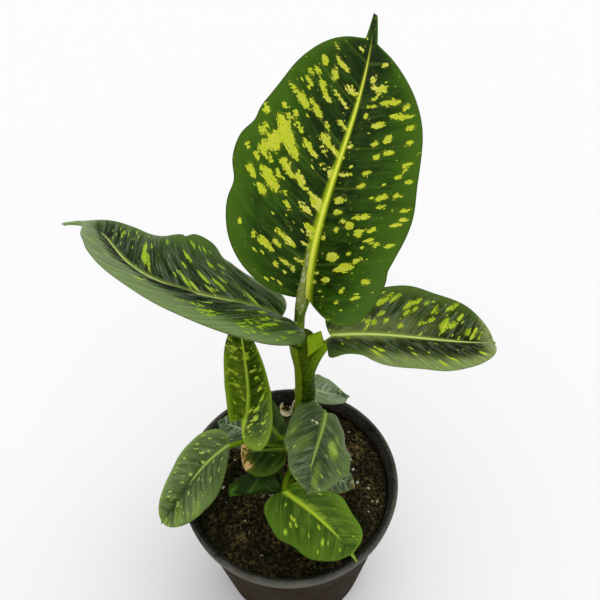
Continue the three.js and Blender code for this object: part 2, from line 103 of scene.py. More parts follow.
# Each blade starts at base, in mm from the centre of the rim's plane.
# heading (turned from +X) and pitch (up from level) are degrees at even steps from base to tip,
# roll goes from base to tip. fold and curl are (base, tip) of the left half, then of the right.
# wave is height in mm, waves in the length, phase of the left edge, phase of the right edge.
# lobe is how far each half of the base reaches back, widest and tip shape the outline.
# drawn is the last part of the length, drawn out to a point, and its half width in mm.
# swing is how far in mm each half's lobe is turned in under the base.
# root is where the stalk leaves the stem, lean how it starts out, stalk its radius at both ends,
# pull how far each end's direction carries, as part of the reach. rise is how steeply the side veins run.
# For the upright, left, right, over_rim, erect, drooping, front and back_right leaves, base, length, width,
# heading, pitch, roll, fold, curl, wave, lobe, widest and tip come from a least-squares fit to traced
# outlines, rounded and in places changed. The rest is set one by one.
USUAL = dict(drawn=(0.06, 2.2), swing=(0, 0), pull=(0.4, 0.35), rise=1)
LEAVES = {
    "leaf_upright": dict(
        base=(13, 0.4, 179.2), length=135, width=97, heading=(77, 49, 57), pitch=(73, 62, 85),
        roll=(-12, -10), fold=((28, 0), (27, 9)), curl=((-32, -5), (28, 34)), wave=(1.4, 3.2, -90, 98),
        lobe=(-1, 12), widest=0.46, tip=0.49, rise=0.65, drawn=(0.085, 3.4), root=(7.8, 12.6, 134),
        lean=(0, -0.1, 1), pull=(0.5, 0.12), stalk=(2.7, 2.5)),
    "leaf_left": dict(
        base=(-0.5, -1.5, 166.5), length=159, width=62, heading=(189, 162, 119, 185),
        pitch=(50, 7, -17, -4), roll=(15, 28), fold=((40, 37), (39, 32)), curl=((67, 25), (51, -3)),
        wave=(5.5, 1.4, -150, 250), lobe=(12, 12), widest=0.21, tip=0.81, rise=2, drawn=(0.065, 2.8),
        root=(5, 8, 134), lean=(-0.1, -0.2, 1), stalk=(2.5, 2.1)),
    "leaf_right": dict(
        base=(24.5, 0.5, 149), length=89, width=55, heading=(6, -2, 14), pitch=(1, -9, -16), roll=(0, 4),
        fold=((31, 32), (27, 28)), curl=((22, 22), (8, 23)), wave=(1, 2.6, 35, 15), lobe=(5, 7),
        widest=0.43, tip=0.56, drawn=(0.02, 0.5), root=(11.8, 8.6, 104), lean=(0.2, -0.1, 1),
        pull=(0.45, 0.1), stalk=(4.6, 2)),
    "leaf_over_rim": dict(
        base=(-36.5, 4, 37), length=70.5, width=44.5, heading=(204, 216, 217), pitch=(-16, -43, -35),
        roll=(2, 2), fold=((19, 13), (16, 11)), curl=((34, 16), (32, 54)), wave=(0, 2.5, 0, 90),
        lobe=(-2, 4), widest=0.4, tip=0.55, drawn=(0.02, 0.5), root=(8, 9, 38), lean=(-1, -0.3, 0.25),
        stalk=(2, 1.6)),
    "leaf_erect": dict(
        base=(-23.5, -5.5, 84), length=79, width=44, heading=(58, 99, 118), pitch=(60, 86, 75),
        roll=(38, -26), fold=((54, 35), (47, 46)), curl=((2, -12), (-25, -45)), wave=(2.5, 2, 0, 75),
        lobe=(-1, 22), swing=(0, 7), widest=0.27, tip=0.52, rise=1.8, root=(8, 10, 26),
        lean=(-1, -0.3, 0.5), stalk=(2, 1.6)),
    "leaf_drooping": dict(
        base=(22.5, -2, 80.5), length=52, width=45, heading=(264, 249, 266), pitch=(13, -27, -76),
        roll=(-26, 26), fold=((-6, 2), (4, -2)), curl=((64, 31), (51, 50)), wave=(3.5, 2.5, 45, 70),
        lobe=(7, 11), widest=0.48, tip=0.71, drawn=(0.05, 1.5), root=(8, 10, 52), lean=(0.9, -0.5, 0.8),
        stalk=(2, 1.5)),
    "leaf_front": dict(
        base=(-3.5, -18.5, 18), length=63, width=52, heading=(315, 316, 303), pitch=(17, -6, -17),
        roll=(-11, -15), fold=((4, 5), (5, 7)), curl=((36, 31), (30, 24)), wave=(2, 2.4, 55, 30),
        lobe=(4, 6), widest=0.42, tip=0.4, drawn=(0.1, 1.3), root=(7.5, 10.5, 17), lean=(-0.1, -1, 0.7),
        stalk=(2, 1.6)),
    "leaf_rolled": dict(
        base=(-5.5, -9.5, 4.5), length=34.5, width=48, heading=(182, 184, 186), pitch=(0, -4, -4),
        roll=(0, 0), fold=((24, 24), (24, 24)), curl=((-165, -260), (-150, -250)), wave=(0.5, 2, 0, 90),
        lobe=(2, 2), drawn=(0.02, 0.5), widest=0.4, tip=0.5, root=(7, 11, -2), lean=(-0.6, -1, 0.2),
        stalk=(1.8, 1.5)),
    "leaf_torn": dict(
        base=(-3, 6, 27), length=28, width=34, heading=(183, 182, 180), pitch=(6, -6, -16),
        roll=(-12, -10), fold=((8, 8), (8, 8)), curl=((25, 25), (25, 25)), wave=(1, 2, 60, 0),
        lobe=(2, 2), drawn=(0.02, 0.5), widest=0.5, tip=0.3, root=(7.5, 10.5, 20), lean=(-1, -0.1, 0.5),
        stalk=(1.8, 1.5)),
    "leaf_dark": dict(
        base=(-6, 3.4, 47.4), length=42, width=22, heading=(128, 125, 120), pitch=(14, 8, 0), roll=(0, 0),
        fold=((14, 10), (14, 10)), curl=((20, 20), (20, 20)), wave=(0.8, 2, 0, 90), lobe=(5, 4),
        widest=0.42, tip=0.7, root=(9, 9.5, 42), lean=(-0.8, -1, 0.6), stalk=(1.8, 1.5)),
    "leaf_back_left": dict(
        base=(-17, 21, 18), length=34, width=28, heading=(160, 155, 150), pitch=(5, -5, -15),
        roll=(-10, -10), fold=((12, 10), (12, 10)), curl=((25, 25), (25, 25)), wave=(0.5, 2, 0, 90),
        lobe=(3, 3), widest=0.42, tip=0.7, root=(7, 11, 2), lean=(-0.8, 0.6, 0.8), stalk=(1.8, 1.4)),
    "leaf_back_right": dict(
        base=(14, 50, 29), length=31, width=28, heading=(-15, 7, 10), pitch=(-11, -32, -20),
        roll=(-6, -19), fold=((20, 16), (21, 20)), curl=((25, 14), (23, 11)), wave=(0.5, 2, 0, 90),
        lobe=(4, 4), widest=0.41, tip=0.76, root=(7, 11, 0), lean=(0, 1, 1), stalk=(1.8, 1.4)),
    "leaf_low": dict(
        base=(17, 2, 3), length=27, width=22, heading=(342, 339, 335), pitch=(5, -8, -15), roll=(5, 0),
        fold=((10, 10), (10, 10)), curl=((25, 25), (25, 25)), wave=(1, 2, 0, 120), lobe=(3, 3),
        widest=0.42, tip=0.5, root=(7, 11, -5), lean=(1, -0.8, 0.4), stalk=(1.6, 1.3)),
}
LEAVES = {name: {**USUAL, **leaf} for name, leaf in LEAVES.items()}
FULL_LEAVES = ("leaf_upright", "leaf_left", "leaf_right", "leaf_erect")  # the rest stand low round the stem

# Yellow flecks, each (t from base to tip, s from left edge -1 to right edge 1, mm along a side vein,
# mm across it). All were picked one by one; for most on the left and right leaf, and some on the upright one,
# t and s were then worked out from the picked places by a program.
FLECKS = {
    "leaf_upright": [
        (0.65, -0.63, 8, 4), (0.635, -0.43, 6, 4), (0.66, -0.54, 3, 2), (0.72, -0.51, 5, 2.8),
        (0.69, -0.4, 6, 2.2), (0.8, -0.68, 3.4, 3.2), (0.76, -0.68, 4, 2.2), (0.81, -0.39, 8, 2.2),
        (0.855, -0.7, 4, 1.6), (0.77, -0.42, 3.5, 4.5), (0.74, -0.13, 6, 1.9), (0.745, -0.05, 4, 1),
        (0.715, -0.3, 6, 1.5), (0.7, -0.19, 7, 1.3), (0.63, -0.09, 6, 2.2), (0.56, -0.2, 7, 4),
        (0.54, -0.07, 7, 3.2), (0.605, -0.25, 3, 1.6), (0.6, -0.62, 3, 2), (0.58, -0.67, 3.4, 2),
        (0.56, -0.73, 6, 3.4), (0.56, -0.52, 6, 1.6), (0.525, -0.62, 10, 8), (0.49, -0.68, 8, 6),
        (0.46, -0.74, 5, 5), (0.485, -0.46, 6, 5), (0.51, -0.54, 7, 4), (0.525, -0.38, 6, 2.6),
        (0.505, -0.29, 6, 2), (0.53, -0.2, 6, 1), (0.51, -0.84, 5, 2), (0.53, -0.86, 3, 1.2),
        (0.455, -0.9, 2.6, 1.4), (0.43, -0.78, 3, 2.8), (0.44, -0.66, 4, 1.4), (0.385, -0.8, 5, 4),
        (0.375, -0.6, 10, 5.5), (0.4, -0.53, 4, 2.4), (0.425, -0.46, 8, 3.4), (0.445, -0.51, 4, 3),
        (0.41, -0.32, 6, 4), (0.385, -0.22, 7, 0.9), (0.35, -0.07, 8, 5.4), (0.465, -0.03, 5, 4),
        (0.48, -0.15, 5, 0.9), (0.335, -0.66, 6, 2.8), (0.315, -0.37, 4, 2.2), (0.35, -0.42, 2.4, 1.6),
        (0.325, -0.18, 8, 2), (0.265, -0.08, 6, 3), (0.235, -0.04, 6, 1.6), (0.21, -0.34, 9, 2.6),
        (0.19, -0.44, 4, 2.4), (0.18, -0.58, 8, 3), (0.2, -0.7, 2.4, 2), (0.205, -0.12, 4, 1.3),
        (0.13, -0.36, 6, 2), (0.14, -0.15, 6, 1.7), (0.11, -0.25, 2.4, 2), (0.675, -0.83, 5, 1.6),
        (0.715, -0.68, 5, 2.4), (0.745, -0.74, 3.6, 2), (0.61, -0.77, 3, 1.4), (0.58, -0.94, 5, 1),
        (0.41, 0.2, 7, 2.8), (0.37, 0.23, 6, 2.4), (0.495, 0.16, 9, 1.4), (0.545, 0.43, 5, 2.2),
        (0.5, 0.42, 4, 3), (0.64, 0.43, 4, 2), (0.695, 0.4, 6, 2.6), (0.675, 0.57, 3.4, 3.4),
        (0.64, 0.62, 5, 2), (0.61, 0.5, 3, 2.8), (0.74, 0.28, 5, 1.4), (0.7, 0.2, 2.8, 2.4),
        (0.76, 0.27, 3.4, 1.6), (0.81, 0.2, 3.4, 2.8), (0.79, 0.24, 2.4, 1.8), (0.8, 0.38, 6, 3.2),
        (0.775, 0.52, 8, 2.4), (0.585, 0.1, 3.6, 1.4), (0.75, 0.66, 5, 2), (0.315, 0.27, 2.8, 2.6),
        (0.26, 0.12, 2.8, 2.6), (0.355, 0.33, 4, 1.6), (0.355, 0.42, 5, 3.4), (0.35, 0.55, 5, 3.2),
        (0.405, 0.52, 8, 2.2), (0.5, 0.66, 6, 2.8), (0.47, 0.68, 4, 1.8), (0.35, 0.7, 5, 2.2),
        (0.385, 0.68, 3.4, 1.4), (0.44, 0.87, 5, 1.6), (0.37, 0.9, 4, 1.4), (0.225, 0.33, 6, 4.6),
        (0.228, 0.53, 8, 4.6), (0.205, 0.46, 5, 2.4), (0.275, 0.64, 5, 2.4), (0.275, 0.52, 3, 2.2),
        (0.125, 0.13, 4, 1.5), (0.085, 0.1, 5, 1.4), (0.135, 0.33, 4.4, 3), (0.23, 0.8, 3.6, 3.2),
        (0.15, 0.6, 3, 2.4), (0.16, 0.78, 6, 1.8), (0.1, 0.62, 3, 1.8), (0.08, 0.3, 2.4, 1.2),
        (0.76, 0.77, 5, 1.8), (0.74, 0.85, 4, 1.8), (0.79, 0.81, 3.4, 1.8), (0.7, 0.85, 3.4, 1.8),
        (0.64, 0.87, 4, 1.8), (0.62, 0.85, 2.4, 1.8), (0.59, 0.9, 3, 1.8), (0.59, 0.79, 3, 2),
        (0.5, 0.92, 5, 1.8), (0.47, 0.92, 3, 1.8), (0.87, 0.49, 2.6, 1.8), (0.88, -0.25, 2.4, 1.8),
        (0.53, 0.81, 3, 2), (0.37, 0.91, 3, 1.8), (0.35, 0.79, 2.6, 1.8), (0.23, -0.85, 1.8, 1.8),
        (0.57, -0.93, 2.6, 1.8), (0.61, -0.79, 2.6, 2), (0.12, -0.49, 2.4, 2)],
    "leaf_left": [
        (0.72, 0.41, 2.6, 1.8), (0.7, 0.53, 2, 1.8), (0.64, -0.35, 5, 1.8), (0.55, 0.37, 8, 2.6),
        (0.52, 0.3, 5, 3), (0.49, 0.23, 6, 1.8), (0.51, 0.77, 3, 1.8), (0.38, 0.81, 2.6, 1.8),
        (0.37, 0.57, 4, 2), (0.32, 0.79, 2.4, 1.8), (0.36, 0.41, 3, 1.8), (0.34, 0.19, 6, 1.8),
        (0.31, 0.15, 5, 1.8), (0.28, 0.57, 3, 2), (0.29, 0.31, 4, 2.8), (0.26, 0.15, 3, 1.8),
        (0.23, 0.25, 4, 1.8), (0.23, 0.37, 3, 2.2), (0.18, 0.33, 3.4, 2), (0.13, 0.2, 13, 1.6),
        (0.14, -0.43, 2, 1.8), (0.15, -0.61, 3, 2), (0.16, -0.73, 3, 2), (0.18, -0.79, 2, 1.8),
        (0.14, -0.69, 2, 1.8), (0.11, -0.59, 1.8, 1.8), (0.19, -0.71, 2, 1.8), (0.21, -0.81, 2, 1.8),
        (0.2, -0.87, 2, 1.8), (0.17, -0.85, 1.8, 1.8), (0.14, -0.91, 2, 2), (0.1, -0.81, 2.4, 2),
        (0.32, -0.71, 2, 1.8), (0.29, -0.65, 2, 1.8), (0.27, -0.77, 2, 1.8)],
    "leaf_right": [
        (0.3, -0.69, 5, 3.4), (0.36, -0.71, 3, 2), (0.38, -0.77, 2.6, 2), (0.34, -0.81, 2.6, 2),
        (0.29, -0.43, 3, 2), (0.32, -0.29, 2.4, 2), (0.25, -0.25, 2.4, 2), (0.22, -0.29, 2, 2),
        (0.44, -0.59, 5, 2.2), (0.49, -0.69, 4.4, 2), (0.43, -0.45, 3, 2.4), (0.48, -0.53, 3.4, 2),
        (0.6, -0.59, 4.4, 2), (0.55, -0.71, 3, 2), (0.73, -0.83, 4, 2), (0.69, -0.71, 3, 2),
        (0.76, -0.59, 3.4, 2.2), (0.66, -0.37, 6, 3.2), (0.71, -0.35, 4, 2.6), (0.66, -0.25, 5, 2),
        (0.81, -0.27, 3.4, 2.6), (0.86, -0.37, 3, 2.2), (0.84, -0.19, 3.4, 2.2), (0.52, -0.29, 2.6, 2),
        (0.4, -0.19, 2.4, 2), (0.58, -0.39, 2.6, 2), (0.26, 0.71, 4.4, 2.8), (0.28, 0.59, 2.4, 2),
        (0.61, 0.79, 3.4, 2.4), (0.68, 0.71, 3, 2), (0.44, 0.43, 2.4, 1.8)],
    "leaf_erect": [
        (0.45, -0.55, 8, 2.8), (0.6, -0.62, 7, 2.2), (0.56, -0.52, 5, 1.6), (0.33, -0.4, 8, 1.4),
        (0.2, -0.2, 8, 1.4), (0.86, -0.85, 4, 1.8), (0.78, -0.7, 4, 1.6), (0.77, -0.5, 4, 1.4),
        (0.68, -0.45, 5, 1.8), (0.58, 0.06, 5, 2.4), (0.34, 0.45, 4.4, 2.8), (0.27, 0.5, 5, 2.2),
        (0.17, 0.35, 4.6, 3.2), (0.43, 0.35, 2.8, 1.8), (0.5, 0.3, 6, 1.4), (0.1, 0.4, 6, 2),
        (0.06, 0.5, 4, 1.6), (0.07, 0.12, 6, 2.4), (0.2, 0.7, 2.8, 1.6), (0.65, 0.15, 4, 2)],
    "leaf_over_rim": [
        (0.24, 0.35, 2.4, 2), (0.42, 0.7, 2.4, 2), (0.28, 0.08, 2.6, 1.8), (0.25, 0.7, 2.4, 1.8),
        (0.45, 0.15, 2.2, 2.2), (0.55, -0.75, 2.4, 2)],
    "leaf_drooping": [(0.4, -0.4, 5, 3.4), (0.33, 0.8, 4, 2.2)],
    "leaf_front": [
        (0.28, 0.45, 2, 3), (0.32, 0.6, 2.4, 2.2), (0.36, 0.52, 2.4, 2.2), (0.33, 0.8, 3, 1.6),
        (0.52, 0.55, 2, 1.6), (0.52, 0.2, 2, 2.2), (0.65, 0.45, 4.4, 1.8), (0.69, 0.36, 2, 1.2)],
}

# Soft pale patches of a blade: (t, s, mm along a side vein, mm across it, strength). Those of
# leaf_back_right are a painted sheen.
PATCHES = {
    "leaf_drooping": [
        (0.32, 0.8, 9, 8, 0.5), (0.45, 0.42, 9, 8, 0.45), (0.4, -0.42, 6, 9, 1), (0.8, -0.25, 4, 9, 0.6),
        (0.68, -0.2, 4, 9, 0.5), (0.28, -0.5, 4, 8, 0.5), (0.15, 0.02, 3, 9, 0.8)],
    "leaf_front": [
        (0.2, -0.04, 4, 8, 0.8), (0.33, -0.08, 5, 8, 0.9), (0.45, -0.06, 4.4, 8, 0.9),
        (0.57, -0.02, 3, 8, 0.7)],
    "leaf_over_rim": [(0.8, -0.5, 12, 9, 0.5), (0.6, -0.8, 9, 9, 0.4)],
    "leaf_rolled": [(0.92, 0, 40, 5, 1), (0.8, 0, 40, 3, 0.5)],
    "leaf_back_right": [(0.4, 0.3, 20, 16, 0.5), (0.5, -0.4, 16, 14, 0.3)],
    "leaf_back_left": [(0.5, 0, 24, 16, 0.3)],
}
# Dents pressed into a blade, in the same words; the last number is the depth in mm.
DENTS = {
    "leaf_over_rim": [(0.74, 0.05, 11, 2.6, 2.2), (0.62, 0.2, 9, 2, 1.4), (0.82, -0.12, 6, 2.2, 1.5)],
    "leaf_drooping": [(0.12, 0.3, 10, 3, 1.2), (0.5, 0.5, 8, 6, 1), (0.6, -0.45, 8, 6, 1.2)],
    "leaf_front": [(0.3, 0.5, 10, 7, 0.8), (0.5, -0.5, 12, 8, 0.9)],
}

# Places where a blade's edge is nicked: (edge -1 or 1, t, spread in t, depth in mm).
NICKS = {
    "leaf_upright": [
        (-1, 0.53, 0.035, 2.2), (-1, 0.34, 0.04, 2.4), (-1, 0.68, 0.1, 1.2), (1, 0.3, 0.02, 0.6)],
    "leaf_right": [(1, 0.2, 0.05, 2.6), (1, 0.085, 0.035, -5)],
    "leaf_left": [(1, 0.24, 0.03, 4), (1, 0.45, 0.02, 1.5), (-1, 0.6, 0.04, 1)],
    "leaf_over_rim": [(-1, 0.52, 0.02, 1), (1, 0.3, 0.05, 0.5)],
    "leaf_torn": [(1, 0.75, 0.03, 2), (-1, 0.8, 0.04, 1.5), (1, 0.6, 0.02, 1)],
}

# How deep each blade is quilted between its side veins, and how far apart those veins stand, mm.
QUILT = {
    "leaf_upright": (0.4, 9.5), "leaf_left": (1.9, 9), "leaf_right": (1.5, 8), "leaf_erect": (0.8, 7),
    "leaf_over_rim": (0.9, 6.5), "leaf_drooping": (1.1, 7), "leaf_front": (0.6, 8), "leaf_rolled": (0.3, 7),
}
QUILT_PLAIN = (0.5, 6)

# The blades' finishes: (name, a colour for each word of TONES, settings of blade_material).
# The last tone is the grey of a painted sheen on a blade's ridges; on some leaves the pale tone paints lit
# bands and highlights, and the dark tone painted shade.
TONES = ("dark", "green", "edge", "pale", "fleck", "cream", "glow", "rib", "painted_sheen_and_bloom")
FINISHES = {
    "glossy": ("waxy blade, dark with yellow flecks",
               "#182e06 #3f660c #4a6c18 #8ea63c #ccda28 #f8f074 #bcd820 #fdff62 #55782c",
               dict(chance=0.15, vein_spacing=9.5, veins=0.22, rib_end=0.82, painted_sheen_and_bloom=0.3)),
    "quilted": ("quilted waxy blade",
                "#0e1a08 #3f5a1c #4f6e22 #93a870 #94bc1e #bccd46 #7f9640 #cfe07a #748468",
                dict(chance=0.22, shine=0.1, vein_spacing=8.0, veins=0.08, painted_crest_shading=0.6, painted_sheen_and_bloom=0.75,
                    halo=0.4)),
    "olive": ("quilted waxy blade, olive",
              "#121c08 #36480c #4e6a1c #a2b46c #a6c41c #d0d840 #7f9640 #cfe07a #66765a",
              dict(chance=0.25, vein_spacing=8.0, veins=0.08, painted_crest_shading=0.6, painted_sheen_and_bloom=0.75, halo=0.5)),
    "bright": ("young blade with bright margins",
               "#2c4606 #6f9010 #9cc026 #94b43a #bfdc2c #e2ee60 #a2be30 #c0d848 #8aa83c",
               dict(chance=0.4, shine=0.1, vein_spacing=7.0, painted_sheen_and_bloom=0.35)),
    "dull": ("old blade, dull grey-green",
             "#36482a #647a44 #687e46 #a0ba38 #98b844 #aec45a #6c8238 #a2ba5c #8c9c76",
             dict(chance=0.2, roughness=0.5, shine=0.1, rib_end=0.6, painted_crest_shading=0.35, painted_sheen_and_bloom=0.5,
                  dry=("#98a45c", "#f0efd0"))),
    "speckled": ("old blade with small light specks",
                 "#32481c #6a8044 #637c3a #9cb63a #a4c050 #b8cc6a #6c8238 #a2ba5c #8c9c70",
                 dict(chance=0.55, roughness=0.5, shine=0.1, veins=0.05, rib_end=0.42, painted_crest_shading=0.5,
                      painted_sheen_and_bloom=0.3)),
    "greyed": ("old blade greyed by bloom",
               "#34462a #647850 #6c8056 #9aa886 #98b058 #aec070 #7c8c5c #a0ae80 #aeb89c",
               dict(chance=0.1, roughness=0.6, shine=0.06, rib_end=0.7, painted_crest_shading=0.4, painted_sheen_and_bloom=0.7)),
    "fresh": ("thin fresh blade",
              "#33520a #668a1c #648a22 #9cb83a #a8c832 #c0d040 #a4c422 #bcd43a #7c9a40",
              dict(chance=0.14, roughness=0.45, vein_spacing=5.5, veins=0.3, rib_end=0.66, painted_sheen_and_bloom=0.3)),
    "dark": ("shaded blade, very dark",
             "#102006 #38540e #4c6a1a #7c9434 #7d9a26 #8a9a3c #4c621a #687e28 #5a7230",
             dict(chance=0.15, roughness=0.42, painted_crest_shading=0.4, painted_sheen_and_bloom=0.35, dry=("#77701a", "#f4c684"))),
}
# Which finish each leaf wears; a leaf's place in this list is also its seed.
WORN = {
    "leaf_upright": "glossy", "leaf_left": "quilted", "leaf_right": "olive", "leaf_over_rim": "speckled",
    "leaf_erect": "bright", "leaf_drooping": "dull", "leaf_front": "fresh", "leaf_rolled": "dark",
    "leaf_torn": "dark", "leaf_dark": "dark", "leaf_back_left": "greyed", "leaf_back_right": "greyed",
    "leaf_low": "greyed",
}

# Kinds of node that are used again and again.
MATH = "ShaderNodeMath"
MAP_RANGE = "ShaderNodeMapRange"
MIX = "ShaderNodeMix"
NOISE = "ShaderNodeTexNoise"
VECTOR_MATH = "ShaderNodeVectorMath"
SPLIT = "ShaderNodeSeparateXYZ"
ATTRIBUTE = "ShaderNodeAttribute"
BUMP = "ShaderNodeBump"
VORONOI = "ShaderNodeTexVoronoi"


# ---------------------------------------------------------------- helpers


def to_metres(points):
    """Points in mm, as Blender's metres."""
    return np.asarray(points, float) * 0.001


def over_rim(point):
    """A point whose height is over the rim, with its height over the ground instead."""
    return np.array([point[0], point[1], point[2] + POT_HEIGHT], float)


def linear(hex_colour):
    """An sRGB hex colour as Blender's linear values."""
    channels = [int(hex_colour[i:i + 2], 16) / 255 for i in (1, 3, 5)]
    return tuple(c / 12.92 if c <= 0.04045 else ((c + 0.055) / 1.055) ** 2.4 for c in channels) + (1.0,)


def smoothstep(x, low, high):
    """0 up to low, 1 from high on, and an even rise between."""
    x = np.clip((np.asarray(x, float) - low) / (high - low), 0, 1)
    return x * x * (3 - 2 * x)


def make_piece(name, points, faces, materials, face_material=None, attributes=None):
    """A mesh object from points in mm, with per-point vectors or numbers as named attributes."""
    mesh = bpy.data.meshes.new(name)
    mesh.from_pydata([tuple(p) for p in to_metres(points)], [], [tuple(int(i) for i in f) for f in faces])
    for material in materials:
        mesh.materials.append(material)
    if face_material is not None:
        mesh.polygons.foreach_set("material_index", np.asarray(face_material, np.int32))
    mesh.polygons.foreach_set("use_smooth", np.full(len(mesh.polygons), True))
    for key, values in (attributes or {}).items():
        kind, field = ("FLOAT", "value") if np.ndim(values) == 1 else ("FLOAT_VECTOR", "vector")
        layer = mesh.attributes.new(key, kind, "POINT")
        layer.data.foreach_set(field, np.asarray(values, np.float32).ravel())
    mesh.update()
    piece = bpy.data.objects.new(name, mesh)
    bpy.context.scene.collection.objects.link(piece)
    return piece


def fill(node, inputs):
    """Sets a node's inputs, each to a number, to a hex colour, to a socket, or to another node, which
    stands for the first of its outputs that is in use."""
    for key, value in inputs.items():
        if isinstance(value, bpy.types.Node):
            value = next(socket for socket in value.outputs if socket.enabled)
        if isinstance(value, bpy.types.NodeSocket):
            node.id_data.links.new(value, node.inputs[key])
        else:
            is_colour = isinstance(value, str) and value.startswith("#")
            node.inputs[key].default_value = linear(value) if is_colour else value


def add(tree, kind, inputs=None, **settings):
    """Adds a node to a tree, with its settings and its inputs."""
    made = tree.nodes.new(kind)
    for key, value in settings.items():
        setattr(made, key, value)
    fill(made, inputs or {})
    return made


def new_material(name):
    """A material with an empty tree but for its Principled shader, which is returned with the tree."""
    material = bpy.data.materials.new(name)
    material.use_nodes = True
    tree = material.node_tree
    tree.nodes.clear()
    shader = add(tree, "ShaderNodeBsdfPrincipled")
    add(tree, "ShaderNodeOutputMaterial", {"Surface": shader})
    return material, tree, shader


# ---------------------------------------------------------------- materials


def fleck_pattern(tree, vein, density, faded, chance):
    """Where a blade is yellow: ragged, blocky flecks where the density asks for them, thin green cracks
    in them, and small stray flecks between. Blocks are about 2.4 x 1.2 mm, strays 3.3 x 1.9 mm.
    Returns the share and a value drawn for each block."""
    wander = add(tree, NOISE, {"Vector": vein, "Scale": 0.2, "Detail": 2.0})
    centred = add(tree, VECTOR_MATH, {0: wander.outputs["Color"], 1: (0.5, 0.5, 0.5)}, operation="SUBTRACT")
    wandered = add(tree, VECTOR_MATH, {0: centred, 1: (4.0, 2.5, 0.0), 2: vein}, operation="MULTIPLY_ADD")
    cells_at = add(tree, VECTOR_MATH, {0: wandered, 1: (0.42, 0.85, 1.0)}, operation="MULTIPLY")
    cells = add(tree, VORONOI, {"Vector": cells_at, "Scale": 1.0}, feature="F1")
    drawn = add(tree, "ShaderNodeSeparateColor", {"Color": cells.outputs["Color"]})
    ragged = add(tree, NOISE, {"Vector": vein, "Scale": 1.1, "Detail": 3.0, "Roughness": 0.6})
    blocky = add(tree, MATH, {0: drawn.outputs["Red"], 1: 0.7, 2: density}, operation="MULTIPLY_ADD")
    torn = add(tree, MATH, {0: ragged, 1: 0.6, 2: blocky}, operation="MULTIPLY_ADD")
    placed = add(tree, MAP_RANGE, {"Value": torn, "From Min": 1.04, "From Max": 1.09})

    edges = add(tree, VORONOI, {"Vector": cells_at, "Scale": 1.0}, feature="DISTANCE_TO_EDGE")
    crack = add(tree, MAP_RANGE, {"Value": edges, "From Min": 0.01, "From Max": 0.06, "To Min": 0.65})
    cracked = add(tree, MATH, {0: placed, 1: crack}, operation="MULTIPLY")

    stray_at = add(tree, VECTOR_MATH, {0: wandered, 1: (0.3, 0.52, 1.0)}, operation="MULTIPLY")
    strays = add(tree, VORONOI, {"Vector": stray_at, "Scale": 1.0}, feature="F1")
    stray_drawn = add(tree, "ShaderNodeSeparateColor", {"Color": strays.outputs["Color"]})
    size = add(tree, MATH, {0: stray_drawn.outputs["Blue"], 1: 0.25, 2: 0.36}, operation="MULTIPLY_ADD")
    rough_edge = add(tree, MATH, {0: ragged, 1: 0.5, 2: strays}, operation="MULTIPLY_ADD")
    inside = add(tree, MATH, {0: size, 1: rough_edge}, operation="SUBTRACT")
    spot = add(tree, MAP_RANGE, {"Value": inside, "From Min": -0.02, "From Max": 0.04})
    likely = add(tree, MATH, {0: faded, 1: chance}, operation="MULTIPLY")
    kept = add(tree, MATH, {0: stray_drawn.outputs["Green"], 1: likely}, operation="LESS_THAN")
    stray = add(tree, MATH, {0: spot, 1: kept}, operation="MULTIPLY")
    marks = add(tree, MATH, {0: cracked, 1: stray}, operation="MAXIMUM")
    return marks, drawn.outputs["Blue"]


